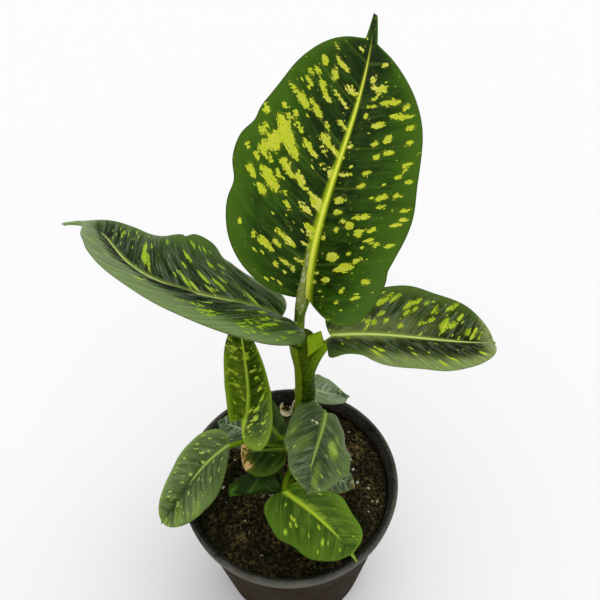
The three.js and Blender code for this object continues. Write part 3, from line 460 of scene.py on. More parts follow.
def blade_material(name, tones, chance, painted_sheen_and_bloom, roughness=0.4, shine=0.08, vein_spacing=6.5, veins=0.1,
                   painted_crest_shading=0.2, rib_end=0.85, halo=0.15, dry=("#86681a", "#ecc47c")):
    """Living dieffenbachia leaf: a waxy skin over dark green tissue that is lighter to the margin, with
    faint side veins, a painted grey sheen on the ridges, sharp-edged yellow flecks in a lighter halo, and a
    pale midrib that glows into the green beside it. The crests of its quilting are painted lighter and its
    grooves darker, and some leaves carry painted light bands, painted highlights and painted shade. It gives
    soft, broad highlights."""
    material, tree, shader = new_material(name)
    vein = add(tree, ATTRIBUTE, attribute_name="vein_place").outputs["Vector"]
    blade = add(tree, ATTRIBUTE, attribute_name="blade_place").outputs["Vector"]
    form = add(tree, ATTRIBUTE, attribute_name="blade_form").outputs["Vector"]
    crest = add(tree, ATTRIBUTE, attribute_name="blade_crest").outputs["Fac"]
    vein_xyz = add(tree, SPLIT, {"Vector": vein})
    blade_xyz = add(tree, SPLIT, {"Vector": blade})
    form_xyz = add(tree, SPLIT, {"Vector": form})
    rib_width, damage, pale_and_painted_light = (form_xyz.outputs[axis] for axis in "XYZ")
    out = add(tree, MATH, {0: vein_xyz.outputs["X"]}, operation="ABSOLUTE")
    edge = add(tree, MATH, {0: blade_xyz.outputs["Y"]}, operation="ABSOLUTE")

    # Green of the blade, in 17 mm clouds and in streaks of 14 x 2 mm along its side veins.
    blotches = add(tree, NOISE, {"Vector": vein, "Scale": 0.06, "Detail": 3.0})
    streak_at = add(tree, VECTOR_MATH, {0: vein, 1: (0.07, 0.5, 1.0)}, operation="MULTIPLY")
    streaks = add(tree, NOISE, {"Vector": streak_at, "Scale": 1.0, "Detail": 4.0, "Roughness": 0.6})
    mottled = add(tree, MATH, {0: streaks, 1: 0.45, 2: blotches}, operation="MULTIPLY_ADD")
    toward_edge = add(tree, MAP_RANGE, {"Value": edge, "From Min": 0.4, "From Max": 0.95, "To Min": -0.15,
                                        "To Max": 0.35})
    lighter = add(tree, MATH, {0: mottled, 1: toward_edge}, operation="ADD")
    # The crests of the quilting are painted lighter and its grooves darker: painted light and shade.
    raised = add(tree, MATH, {0: crest, 1: painted_crest_shading, 2: lighter}, operation="MULTIPLY_ADD")
    green_share = add(tree, MAP_RANGE, {"Value": raised, "From Min": 0.6, "From Max": 1.3})
    ground = add(tree, MIX, {"Factor": green_share, "A": tones["dark"], "B": tones["green"]},
                 data_type="RGBA")
    margin = add(tree, MAP_RANGE, {"Value": edge, "From Min": 0.72, "From Max": 0.97, "To Max": 0.85})
    bordered = add(tree, MIX, {"Factor": margin, "A": ground, "B": tones["edge"]}, data_type="RGBA")

    # Faint side veins, and pale patches where the piece says so; on some leaves these are painted
    # light bands and painted highlights.
    turn = add(tree, MATH, {0: vein_xyz.outputs["Y"], 1: 1 / vein_spacing}, operation="MULTIPLY")
    phase = add(tree, MATH, {0: turn, 1: 1.0}, operation="PINGPONG")
    by_rib = add(tree, MAP_RANGE, {"Value": out, "From Min": 24.0, "From Max": 3.0, "To Min": 0.3 * veins,
                                   "To Max": veins})
    vein_line = add(tree, MAP_RANGE, {"Value": phase, "From Min": 0.1, "From Max": 0.0, "To Max": by_rib})
    # Where the pale value drops below nothing, the blade is darkened to its dark tone: painted shade.
    painted_shade = add(tree, MAP_RANGE, {"Value": pale_and_painted_light, "From Min": 0.0, "From Max": -1.0})
    shaded = add(tree, MIX, {"Factor": painted_shade, "A": bordered, "B": tones["dark"]}, data_type="RGBA")
    light = add(tree, MATH, {0: pale_and_painted_light, 1: 0.0}, operation="MAXIMUM")
    patched = add(tree, MATH, {0: streaks, 1: 2.2, 2: -0.4}, operation="MULTIPLY_ADD")
    pale_patch = add(tree, MATH, {0: light, 1: patched, 2: vein_line}, operation="MULTIPLY_ADD",
                     use_clamp=True)
    veined = add(tree, MIX, {"Factor": pale_patch, "A": shaded, "B": tones["pale"]}, data_type="RGBA")

    # Painted grey sheen on the broken ridges, about 9 x 2 mm, that run out along the veins: a
    # reflection of the light painted into the colour.
    ridge_at = add(tree, VECTOR_MATH, {0: vein, 1: (0.11, 0.5, 1.0)}, operation="MULTIPLY")
    ridges = add(tree, NOISE, {"Vector": ridge_at, "Scale": 1.0, "Detail": 4.0, "Roughness": 0.55,
                               "Distortion": 0.8})
    ridge = add(tree, MAP_RANGE, {"Value": ridges, "From Min": 0.5, "From Max": 0.68, "To Max": painted_sheen_and_bloom})
    within = add(tree, MAP_RANGE, {"Value": edge, "From Min": 1.0, "From Max": 0.7})
    painted_sheen_share = add(tree, MATH, {0: ridge, 1: within}, operation="MULTIPLY")
    with_painted_sheen = add(tree, MIX, {"Factor": painted_sheen_share, "A": veined, "B": tones["painted_sheen_and_bloom"]}, data_type="RGBA")

    # Flecks, creamier toward the midrib.
    faded = add(tree, MAP_RANGE, {"Value": edge, "From Min": 0.95, "From Max": 0.8})
    marks, draw = fleck_pattern(tree, vein, blade_xyz.outputs["Z"], faded, chance)
    creamy = add(tree, MAP_RANGE, {"Value": out, "From Min": 22.0, "From Max": 2.0, "To Min": 0.25,
                                   "To Max": 1.1})
    creamy_block = add(tree, MATH, {0: creamy, 1: draw}, operation="MULTIPLY")
    fleck_tone = add(tree, MIX, {"Factor": creamy_block, "A": tones["fleck"], "B": tones["cream"]},
                     data_type="RGBA")
    round_flecks = add(tree, MAP_RANGE, {"Value": blade_xyz.outputs["Z"], "From Min": 0.02, "From Max": 0.6,
                                         "To Max": halo})
    uneven = add(tree, MATH, {0: round_flecks, 1: patched}, operation="MULTIPLY", use_clamp=True)
    haloed = add(tree, MIX, {"Factor": uneven, "A": with_painted_sheen, "B": tones["fleck"]}, data_type="RGBA")
    flecked = add(tree, MIX, {"Factor": marks, "A": haloed, "B": fleck_tone}, data_type="RGBA")

    # The midrib and the glow beside it, both as wide as the piece says.
    rib_share = add(tree, MATH, {0: out, 1: rib_width}, operation="DIVIDE")
    glow = add(tree, MAP_RANGE, {"Value": rib_share, "From Min": 3.0, "From Max": 0.5, "To Max": 0.95},
               interpolation_type="SMOOTHSTEP")
    glow_fade = add(tree, MAP_RANGE, {"Value": blade_xyz.outputs["X"], "From Min": rib_end + 0.1,
                                      "From Max": rib_end - 0.15})
    glow_share = add(tree, MATH, {0: glow, 1: glow_fade}, operation="MULTIPLY")
    glowing = add(tree, MIX, {"Factor": glow_share, "A": flecked, "B": tones["glow"]}, data_type="RGBA")
    core = add(tree, MAP_RANGE, {"Value": rib_share, "From Min": 0.95, "From Max": 0.5})
    young = add(tree, MAP_RANGE, {"Value": blade_xyz.outputs["X"], "From Min": rib_end + 0.12,
                                  "From Max": rib_end})
    core_share = add(tree, MATH, {0: core, 1: young}, operation="MULTIPLY")
    ribbed = add(tree, MIX, {"Factor": core_share, "A": glowing, "B": tones["rib"]}, data_type="RGBA")

    # Dry, damaged tissue: tan to cream in 2.5 mm clouds, where the piece says so.
    dry_patch = add(tree, NOISE, {"Vector": vein, "Scale": 0.4, "Detail": 4.0})
    dry_draw = add(tree, MATH, {0: dry_patch, 1: damage}, operation="MULTIPLY")
    dry_light = add(tree, MAP_RANGE, {"Value": dry_draw, "From Min": 0.42, "From Max": 0.56})
    dry_tone = add(tree, MIX, {"Factor": dry_light, "A": dry[0], "B": dry[1]}, data_type="RGBA")
    dry_share = add(tree, MAP_RANGE, {"Value": dry_draw, "From Min": 0.15, "From Max": 0.55})
    finished = add(tree, MIX, {"Factor": dry_share, "A": ribbed, "B": dry_tone}, data_type="RGBA")

    # A leaf's pores are too fine to show, so its skin is drawn with a grain of 1.1 mm.
    skin = add(tree, NOISE, {"Vector": vein, "Scale": 0.9, "Detail": 3.0})
    rough = add(tree, MAP_RANGE, {"Value": skin, "To Min": roughness - 0.06, "To Max": roughness + 0.1})
    height = add(tree, MATH, {0: streaks, 1: 1.2, 2: skin}, operation="MULTIPLY_ADD")
    bump = add(tree, BUMP, {"Height": height, "Strength": 0.3, "Distance": 0.0004})
    fill(shader, {"Base Color": finished, "Roughness": rough, "Normal": bump, "Specular IOR Level": shine})
    return material


def underside_material(name, green, pale):
    """Underside of a leaf: it has no wax, so it is almost matt, in faint 8 mm clouds, its veins standing
    out."""
    material, tree, shader = new_material(name)
    vein = add(tree, ATTRIBUTE, attribute_name="vein_place")
    vein_xyz = add(tree, SPLIT, {"Vector": vein.outputs["Vector"]})
    cloud = add(tree, NOISE, {"Vector": vein.outputs["Vector"], "Scale": 0.12, "Detail": 4.0})
    turn = add(tree, MATH, {0: vein_xyz.outputs["Y"], 1: 1 / UNDERSIDE_VEINS}, operation="MULTIPLY")
    phase = add(tree, MATH, {0: turn, 1: 1.0}, operation="PINGPONG")
    line = add(tree, MAP_RANGE, {"Value": phase, "From Min": 0.15, "From Max": 0.0, "To Max": 0.5})
    share = add(tree, MATH, {0: cloud, 1: 0.5, 2: line}, operation="MULTIPLY_ADD", use_clamp=True)
    form = add(tree, ATTRIBUTE, attribute_name="blade_form")
    pale_and_painted_light = add(tree, SPLIT, {"Vector": form.outputs["Vector"]}).outputs["Z"]
    paler = add(tree, MATH, {0: share, 1: pale_and_painted_light}, operation="MAXIMUM")
    tone = add(tree, MIX, {"Factor": paler, "A": green, "B": pale}, data_type="RGBA")
    bump = add(tree, BUMP, {"Height": line, "Strength": 0.4, "Distance": 0.0004})
    fill(shader, {"Base Color": tone, "Roughness": 0.55, "Normal": bump, "Specular IOR Level": 0.12})
    return material


def stalk_material(name, low, high):
    """Leaf stalk or cane: smooth green tissue, nearly matt, with lengthwise streaks about 0.1 mm wide and
    20 mm long, and 3 mm clouds."""
    material, tree, shader = new_material(name)
    place = add(tree, ATTRIBUTE, attribute_name="tube_place")
    place_xyz = add(tree, SPLIT, {"Vector": place.outputs["Vector"]})
    streak_at = add(tree, VECTOR_MATH, {0: place.outputs["Vector"], 1: (9.0, 0.05, 1.0)},
                    operation="MULTIPLY")
    streaks = add(tree, NOISE, {"Vector": streak_at, "Scale": 1.0, "Detail": 3.0})
    cloud = add(tree, NOISE, {"Vector": place.outputs["Vector"], "Scale": 0.35, "Detail": 2.0})
    tint = add(tree, MATH, {0: streaks, 1: 0.4, 2: place_xyz.outputs["Z"]}, operation="MULTIPLY_ADD")
    share = add(tree, MATH, {0: cloud, 1: 0.4, 2: tint}, operation="MULTIPLY_ADD")
    mixed = add(tree, MAP_RANGE, {"Value": share, "From Min": 0.4, "From Max": 1.4})
    tone = add(tree, MIX, {"Factor": mixed, "A": low, "B": high}, data_type="RGBA")
    bump = add(tree, BUMP, {"Height": streaks, "Strength": 0.2, "Distance": 0.0003})
    fill(shader, {"Base Color": tone, "Roughness": 0.55, "Normal": bump, "Specular IOR Level": 0.02})
    return material


def spear_material():
    """Rolled new leaf: a grey-green bloom with rows of whitish dots, over the smooth green sheath it
    rises from. The dots stand about 0.9 mm apart round the roll and 3.3 mm along it."""
    material, tree, shader = new_material("rolled new leaf with pale dots")
    place = add(tree, ATTRIBUTE, attribute_name="tube_place").outputs["Vector"]
    free = add(tree, SPLIT, {"Vector": place}).outputs["Z"]
    cells_at = add(tree, VECTOR_MATH, {0: place, 1: (1.1, 0.3, 0.0)}, operation="MULTIPLY")
    cells = add(tree, VORONOI, {"Vector": cells_at, "Scale": 1.0}, feature="F1")
    draw = add(tree, "ShaderNodeSeparateColor", {"Color": cells.outputs["Color"]})
    near = add(tree, MAP_RANGE, {"Value": cells, "From Min": 0.5, "From Max": 0.25})
    kept = add(tree, MATH, {0: draw.outputs["Red"], 1: 0.45}, operation="LESS_THAN")
    dots = add(tree, MATH, {0: near, 1: kept}, operation="MULTIPLY")
    bloom_dots = add(tree, MATH, {0: dots, 1: free}, operation="MULTIPLY")
    cloud = add(tree, NOISE, {"Vector": place, "Scale": 0.2, "Detail": 3.0})
    painted_sheen_and_bloom = add(tree, MIX, {"Factor": cloud, "A": "#6c7a30", "B": "#a4b060"}, data_type="RGBA")
    dotted = add(tree, MIX, {"Factor": bloom_dots, "A": painted_sheen_and_bloom, "B": "#c9cfae"}, data_type="RGBA")
    sheath = add(tree, MIX, {"Factor": cloud, "A": "#34500a", "B": "#6c8c1c"}, data_type="RGBA")
    parted = add(tree, MIX, {"Factor": free, "A": sheath, "B": dotted}, data_type="RGBA")
    mouth = add(tree, MATH, {0: free, 1: 0.5}, operation="PINGPONG")
    lip = add(tree, MAP_RANGE, {"Value": mouth, "From Min": 0.1, "From Max": 0.4, "To Max": 0.7})
    tone = add(tree, MIX, {"Factor": lip, "A": parted, "B": "#9aa85c"}, data_type="RGBA")
    fill(shader, {"Base Color": tone, "Roughness": 0.5, "Specular IOR Level": 0.03})
    return material


def pot_material():
    """Moulded polypropylene nursery pot: black, browned by dust and dried water on the wall, and a lighter
    grey on the outer side of its rim that is partly dust and partly painted light. It is nearly matt. The
    dust lies in clouds of 26 mm, and its 1.4 mm specks stand for a finer grain that would not show."""
    material, tree, shader = new_material("dusty moulded polypropylene")
    where = add(tree, "ShaderNodeTexCoord")
    height = add(tree, SPLIT, {"Vector": where.outputs["Object"]})
    dust = add(tree, NOISE, {"Vector": where.outputs["Object"], "Scale": 38.0, "Detail": 6.0,
                             "Roughness": 0.65})
    specks = add(tree, NOISE, {"Vector": where.outputs["Object"], "Scale": 700.0, "Detail": 2.0})
    below_rim = add(tree, MAP_RANGE, {"Value": height.outputs["Z"],
                                      "From Min": (POT_HEIGHT - RIM_HEIGHT + 0.5) * 0.001,
                                      "From Max": (POT_HEIGHT - RIM_HEIGHT - 0.5) * 0.001, "To Min": 0.42,
                                      "To Max": 0.8})
    wall = add(tree, MAP_RANGE, {"Value": below_rim, "From Min": 0.42, "From Max": 0.8})
    level = add(tree, VECTOR_MATH, {0: where.outputs["Object"], 1: (1.0, 1.0, 0.0)}, operation="MULTIPLY")
    radius = add(tree, VECTOR_MATH, {0: level}, operation="LENGTH")
    # Lighter toward the rim's outer edge and down its outer face: grey that is partly dust and partly painted
    # light.
    outward = add(tree, MAP_RANGE, {"Value": radius, "From Min": (RIM_RADIUS - 2.8) * 0.001,
                                    "From Max": (RIM_RADIUS - 0.3) * 0.001, "To Min": 0.4, "To Max": 1.0})
    outside = add(tree, MATH, {0: outward, 1: wall}, operation="MAXIMUM")
    kept = add(tree, MATH, {0: below_rim, 1: outside}, operation="MULTIPLY")
    dust_and_rim_light = add(tree, MATH, {0: dust, 1: kept}, operation="MULTIPLY")
    speckled = add(tree, MATH, {0: specks, 1: 0.25, 2: dust_and_rim_light}, operation="MULTIPLY_ADD")
    share = add(tree, MAP_RANGE, {"Value": speckled, "From Min": 0.15, "From Max": 0.68})
    # Grey on the rim, partly dust and partly painted light; brown dust on the wall.
    dust_and_rim_light_tone = add(tree, MIX, {"Factor": wall, "A": "#8a887c", "B": "#2c1f06"}, data_type="RGBA")
    tone = add(tree, MIX, {"Factor": share, "A": "#191610", "B": dust_and_rim_light_tone}, data_type="RGBA")
    rough = add(tree, MAP_RANGE, {"Value": share, "To Min": 0.36, "To Max": 0.75})
    bump = add(tree, BUMP, {"Height": specks, "Strength": 0.15, "Distance": 0.0002})
    fill(shader, {"Base Color": tone, "Roughness": rough, "Normal": bump, "Specular IOR Level": 0.03})
    return material


def soil_material(name, dark, brown):
    """Moist peat and coir mix: nearly black and quite matt, with brown patches of about 18 mm where coir
    gathers, broken up by a grain of 2.4 mm."""
    material, tree, shader = new_material(name)
    where = add(tree, "ShaderNodeTexCoord")
    patch = add(tree, NOISE, {"Vector": where.outputs["Object"], "Scale": 55.0, "Detail": 6.0})
    grain = add(tree, NOISE, {"Vector": where.outputs["Object"], "Scale": 420.0, "Detail": 4.0})
    sharp = add(tree, MAP_RANGE, {"Value": patch, "From Min": 0.44, "From Max": 0.6, "To Min": 0.25})
    clear = add(tree, MAP_RANGE, {"Value": grain, "From Min": 0.42, "From Max": 0.66})
    share = add(tree, MATH, {0: sharp, 1: clear}, operation="MULTIPLY")
    tone = add(tree, MIX, {"Factor": share, "A": dark, "B": brown}, data_type="RGBA")
    bump = add(tree, BUMP, {"Height": grain, "Strength": 0.8, "Distance": 0.001})
    fill(shader, {"Base Color": tone, "Roughness": 0.95, "Normal": bump, "Specular IOR Level": 0.1})
    return material


def grain_material(name, first, second, scale):
    """Perlite, coir or dead sheath: dry and matt, in two tones that drift from place to place. scale is
    how many times they do so in a metre: 90 is every 11 mm, 260 every 4 mm."""
    material, tree, shader = new_material(name)
    where = add(tree, "ShaderNodeTexCoord")
    cloud = add(tree, NOISE, {"Vector": where.outputs["Object"], "Scale": scale, "Detail": 3.0})
    share = add(tree, MAP_RANGE, {"Value": cloud, "From Min": 0.35, "From Max": 0.65})
    tone = add(tree, MIX, {"Factor": share, "A": first, "B": second}, data_type="RGBA")
    bump = add(tree, BUMP, {"Height": cloud, "Strength": 0.5, "Distance": 0.0004})
    fill(shader, {"Base Color": tone, "Roughness": 0.85, "Normal": bump, "Specular IOR Level": 0.15})
    return material


# ---------------------------------------------------------------- the blade's form


def along(values, t):
    """Values given at even steps along a leaf, read at t from 0 to 1."""
    last = len(values) - 1
    total = 0
    for i, value in enumerate(values):
        weight = 1.0
        for j in range(last + 1):
            if j != i:
                weight = weight * (t * last - j) / (i - j)
        total = total + value * weight
    return total


def spine(leaf):
    """Centre line of a blade, with its tangents, upward normals and rightward sides."""
    t = np.linspace(0, 1, SPINE_STEPS + 1)
    heading = np.radians(along(leaf["heading"], t))
    pitch = np.radians(along(leaf["pitch"], t))
    roll = np.radians(leaf["roll"][0] + (leaf["roll"][1] - leaf["roll"][0]) * t)
    tangent = np.stack([np.cos(pitch) * np.cos(heading), np.cos(pitch) * np.sin(heading), np.sin(pitch)], 1)
    upward = np.stack([-np.sin(pitch) * np.cos(heading), -np.sin(pitch) * np.sin(heading), np.cos(pitch)], 1)
    side = np.cross(tangent, upward)
    normal = upward * np.cos(roll)[:, None] + side * np.sin(roll)[:, None]
    centre = np.repeat(over_rim(leaf["base"])[None], SPINE_STEPS + 1, 0)
    centre[1:] += np.cumsum((tangent[1:] + tangent[:-1]) / 2 * leaf["length"] / SPINE_STEPS, 0)
    return centre, tangent, normal, np.cross(tangent, normal)


def half_width(leaf, t):
    """Half width of a blade: an egg-shaped outline that runs out into a drawn tip."""
    drawn_share, drawn_width = leaf["drawn"]
    u = np.minimum(t / (1 - drawn_share), 1)
    widest = leaf["widest"]
    to_base = np.sqrt(np.clip(1 - np.clip(1 - u / widest, 0, 1) ** 2, 0, 1))
    to_tip = np.clip(1 - np.clip((u - widest) / (1 - widest), 0, 1) ** 2, 0, 1) ** leaf["tip"]
    body = leaf["width"] / 2 * np.where(u < widest, to_base, to_tip)
    drawn = drawn_width * np.minimum((1 - t) / drawn_share, 1) ** 0.8
    blend = drawn_width * 1.2
    share = np.clip(0.5 + 0.5 * (drawn - body) / blend, 0, 1)
    joined = drawn * share + body * (1 - share) + blend * share * (1 - share)
    fade = smoothstep(t, 0.5, 0.7)
    return body * (1 - fade) + joined * fade


def blade_points(leaf, line, t, s):
    """Middle surface of a blade at t (base to tip) and s (left edge -1 to right edge 1), with the
    distances from the midrib and from the base of each point."""
    right = (s >= 0).astype(int)
    out = np.abs(s)
    near_base, nearer_base = (
        np.sin(np.pi * np.minimum(1, np.sqrt(np.clip(t, 0, 1) / reach))) * out ** 1.5
        for reach in (LOBE_REACH, SWING_REACH))
    x = half_width(leaf, t) * out - np.asarray(leaf["swing"], float)[right] * nearer_base
    back = np.asarray(leaf["lobe"], float)[right] * near_base
    place = t - back / leaf["length"]
    held = np.clip(place, 0, 1)
    k = np.minimum((held * SPINE_STEPS).astype(int), SPINE_STEPS - 1)
    f = (held * SPINE_STEPS - k)[:, None]
    centre, tangent, normal, side = (row[k] * (1 - f) + row[k + 1] * f for row in line)
    fold_pair = np.asarray(leaf["fold"], float)[right]
    curl_pair = np.asarray(leaf["curl"], float)[right]
    fold = np.radians(fold_pair[:, 0] + (fold_pair[:, 1] - fold_pair[:, 0]) * held)
    turn = np.radians(curl_pair[:, 0] + (curl_pair[:, 1] - curl_pair[:, 0]) * held)
    half = leaf["width"] / 2
    bend = np.where(np.abs(turn) < 1e-4, 1e-4, turn) / half
    across = (np.sin(fold) - np.sin(fold - bend * x)) / bend
    phase = np.radians(np.asarray(leaf["wave"][2:], float)[right])
    ripple = leaf["wave"][0] * (x / half) ** 2 * np.sin(2 * np.pi * leaf["wave"][1] * place + phase)
    up = (np.cos(fold - bend * x) - np.cos(fold)) / bend + ripple
    points = (centre + tangent * (np.minimum(place, 0) * leaf["length"])[:, None]
              + side * (np.where(right, 1, -1) * across)[:, None] + normal * up[:, None])
    return points, x * np.sign(s), place * leaf["length"]


def blade_normals(leaf, line, t, s):
    """Upward normals of a blade's middle surface."""
    inside_t = np.clip(t, 0.02, 0.98)
    inside_s = np.clip(s, -0.98, 0.98)
    ahead = blade_points(leaf, line, inside_t + 0.004, s)[0]
    ahead = ahead - blade_points(leaf, line, inside_t - 0.004, s)[0]
    beside = (blade_points(leaf, line, inside_t, inside_s + 0.02)[0]
              - blade_points(leaf, line, inside_t, inside_s - 0.02)[0])
    normal = np.cross(beside, ahead)
    return normal / np.linalg.norm(normal, axis=1)[:, None]


def vein_rise(leaf, x):
    """How far toward the tip a side vein has run when it is x mm from the midrib."""
    v = np.abs(x) / (leaf["width"] / 2)
    return leaf["rise"] * leaf["width"] * (0.3 * v + 0.13 * v * v)


def spots(leaf, line, t, s, wanted):
    """Sum of soft spots, each (t, s, mm along a side vein, mm across it, strength)."""
    _, x, y = blade_points(leaf, line, t, s)
    root = y - vein_rise(leaf, x)
    total = np.zeros(len(t))
    for at_t, at_s, length, width, strength in wanted:
        _, x0, y0 = blade_points(leaf, line, np.array([at_t]), np.array([at_s]))
        root0 = y0 - vein_rise(leaf, x0)
        away = np.sqrt(((x - x0) / (length / 2)) ** 2 + ((root - root0) / (width / 2)) ** 2)
        total = np.maximum(total, strength * np.exp(-0.7 * away ** STEEP))
    return total


def relief_of(name, leaf, line, t, s, x, y, seed):
    """How far each point of a blade stands off its middle surface, mm: panels quilted between the side
    veins, slow swells and the valley along the midrib. Also how near each point is to a panel's crest."""
    out = np.abs(s)
    depth, spacing = QUILT.get(name, QUILT_PLAIN)
    rng = np.random.default_rng(seed)
    phases = rng.uniform(0, 2 * np.pi, 8)
    shift = np.where(x < 0, 0.5, 0.0)
    wobble = 0.2 * np.sin(x * 0.21 + phases[0]) + 0.2 * np.sin(y * 0.13 + phases[1])
    root = y - vein_rise(leaf, x)
    crest = np.abs(np.sin(np.pi * (root / spacing + wobble + shift))) ** 0.6
    uneven = 0.75 + 0.4 * np.sin(x * 0.33 + root * 0.21 + phases[6]) + 0.3 * np.sin(root * 0.47 + phases[7])
    panel = (crest - 0.7) * uneven * smoothstep(out, 0.03, 0.22) * (1 - smoothstep(out, 0.7, 0.95))
    swell = (0.5 * np.sin(x * 0.11 + y * 0.07 + phases[2]) + 0.35 * np.sin(x * 0.19 - y * 0.12 + phases[3])
             + 0.25 * np.sin(y * 0.31 + phases[4]) * np.sin(x * 0.23 + phases[5]))
    relief = depth * panel + 0.6 * swell * smoothstep(out, 0.1, 0.5) * np.clip(np.sin(np.pi * t), 0, 1)
    relief -= 0.45 * (1 - 0.6 * t) * np.exp(-(x / 4.5) ** 2) * smoothstep(t, 0, 0.1)
    if name == "leaf_drooping":
        along_tear = np.exp(-((s - TEAR["s"]) / TEAR["reach"]) ** 4)
        sunk = np.exp(-((t - TEAR["t"]) / 0.025) ** 2) * (t < TEAR["t"] + 0.012)
        lifted = np.exp(-((t - TEAR["t"] - 0.03) / 0.02) ** 2)
        relief += along_tear * (0.7 * lifted - 1.6 * sunk)
    relief -= spots(leaf, line, t, s, DENTS.get(name, []))
    return relief, crest * smoothstep(out, 0.03, 0.2)


def damage_of(name, t, s, x):
    """Share of dry, pale tissue at each point of a blade."""
    if name == "leaf_torn":
        edge_on = smoothstep(t, 0.9, 0.99)
        return np.maximum(smoothstep(t + 0.06 * np.sin(x * 0.5), 0.55, 0.9), 1.5 * edge_on)
    if name == "leaf_low":
        return 0.8 * smoothstep(np.maximum(np.abs(s), t), 0.78, 0.97)
    if name == "leaf_drooping":
        ragged = 0.006 * np.sin(x * 2.1) + 0.004 * np.sin(x * 5.3 + 1)
        lip = np.exp(-((t - TEAR["t"] - 0.034 + ragged) / (0.012 + ragged)) ** 4)
        return 2 * lip * np.exp(-((s - TEAR["s"]) / (0.8 * TEAR["reach"])) ** 4)
    return np.zeros(len(t))


def pale_and_painted_light_of(name, leaf, line, t, s, x):
    """Share of pale tissue and of painted light at each point of a blade; below nothing, how much painted
    shade darkens it.
    """
    pale = spots(leaf, line, t, s, PATCHES.get(name, []))
    out = np.abs(s)
    painted_shade = np.zeros(len(t))
    # leaf_left: the upturned band of its near half and its edge-on tip are painted pale as painted light and
    # sheen; beside the midrib on the near half, and over the far half, it is darkened as painted shade.
    if name == "leaf_left":
        start = np.interp(t, [0.2, 0.45], [0.75, 0.38])
        lit_near_band = smoothstep(-s, start, start + 0.2) * smoothstep(t, 0.02, 0.2) * 0.68
        lobe = 0.4 * smoothstep(s, 0.4, 0.7) * (1 - smoothstep(t, 0.1, 0.2))
        pale = np.maximum.reduce([pale, lit_near_band, lobe, 3 * smoothstep(t, 0.84, 0.98)])
        painted_shade = smoothstep(-s, 0.02, 0.1) * (1 - smoothstep(-s, start - 0.1, start + 0.1))
        painted_shade *= smoothstep(t, 0.12, 0.3)
        painted_shade += 0.5 * smoothstep(s, 0.03, 0.15) * (1 - smoothstep(s, 0.5, 0.95)) * smoothstep(t, 0.1, 0.3)
        painted_shade *= 1 - smoothstep(t, 0.8, 0.92)
    # leaf_right: a painted sheen lies along its near margin and beside the midrib toward the base; the near
    # half beside the midrib and the hooked lobe are darkened as painted shade.
    if name == "leaf_right":
        lit_near_band = smoothstep(s, 0.54, 0.82) * smoothstep(t, 0.15, 0.3) * 0.75
        inner = (1 - smoothstep(np.abs(s + 0.05), 0.15, 0.45)) * (1 - smoothstep(t, 0.4, 0.7)) * 0.5
        pale = np.maximum.reduce([pale, lit_near_band, inner, 1.1 * smoothstep(t, 0.84, 0.97)])
        painted_shade = smoothstep(s, 0.04, 0.12) * (1 - smoothstep(s, 0.4, 0.6)) * smoothstep(t, 0.25, 0.45)
        lobe = 0.7 * (s > 0) * (1 - smoothstep(t, 0.04, 0.12))
        painted_shade = np.maximum(0.9 * painted_shade * (1 - smoothstep(t, 0.8, 0.92)), lobe)
    # leaf_upright: darkened beside the midrib in its upper half and toward its tip, as painted shade.
    if name == "leaf_upright":
        painted_shade = 0.6 * (1 - smoothstep(out, 0.15, 0.5)) * smoothstep(t, 0.3, 0.5)
        painted_shade = np.maximum(painted_shade, 0.6 * (1 - smoothstep(out, 0.5, 0.9)) * smoothstep(t, 0.75, 0.92))
    # leaf_erect: darkened beside the midrib on the right and at the left margin as painted shade, and toward
    # its tip as the painted shadow of leaf_left.
    if name == "leaf_erect":
        painted_shade = 0.4 * smoothstep(s, 0.02, 0.1) * (2 - smoothstep(s, 0.5, 0.7)) + 0.3 * smoothstep(-s, 0.5, 0.7)
        painted_shade = np.maximum(painted_shade, smoothstep(t, 0.7, 0.85))
        pale = np.maximum(pale, 0.45 * smoothstep(-s, 0.0, 0.1) * (1 - smoothstep(-s, 0.3, 0.6))
                          * (1 - smoothstep(t, 0.6, 0.8)))
    # leaf_over_rim: darkened toward its base as painted shade.
    if name == "leaf_over_rim":
        pale = np.maximum(pale, 0.6 * smoothstep(np.maximum(t, 0.6 + 0.4 * s), 0.88, 0.99))
        painted_shade = 0.5 - 0.5 * smoothstep(t, 0.15, 0.5)
    # leaf_front: its right part is darkened as painted shade, and its tip painted pale as a painted
    # highlight.
    if name == "leaf_front":
        painted_shade = 0.5 * smoothstep(s, 0.3, 0.6)
        pale = np.maximum(pale, smoothstep(t, 0.88, 0.93))
    # leaf_rolled: its rolled lip at the tip is painted pale as a painted highlight.
    if name == "leaf_rolled":
        pale = smoothstep(t + 0.06 * np.sin(x * 0.9), 0.74, 0.88)
    # These low leaves are darkened all over as painted shade.
    if name in ("leaf_dark", "leaf_low", "leaf_back_left"):
        painted_shade = np.full(len(t), 0.5)
    return np.where(pale > 0.02, pale, 0) - painted_shade * (1 - np.clip(pale, 0, 1))


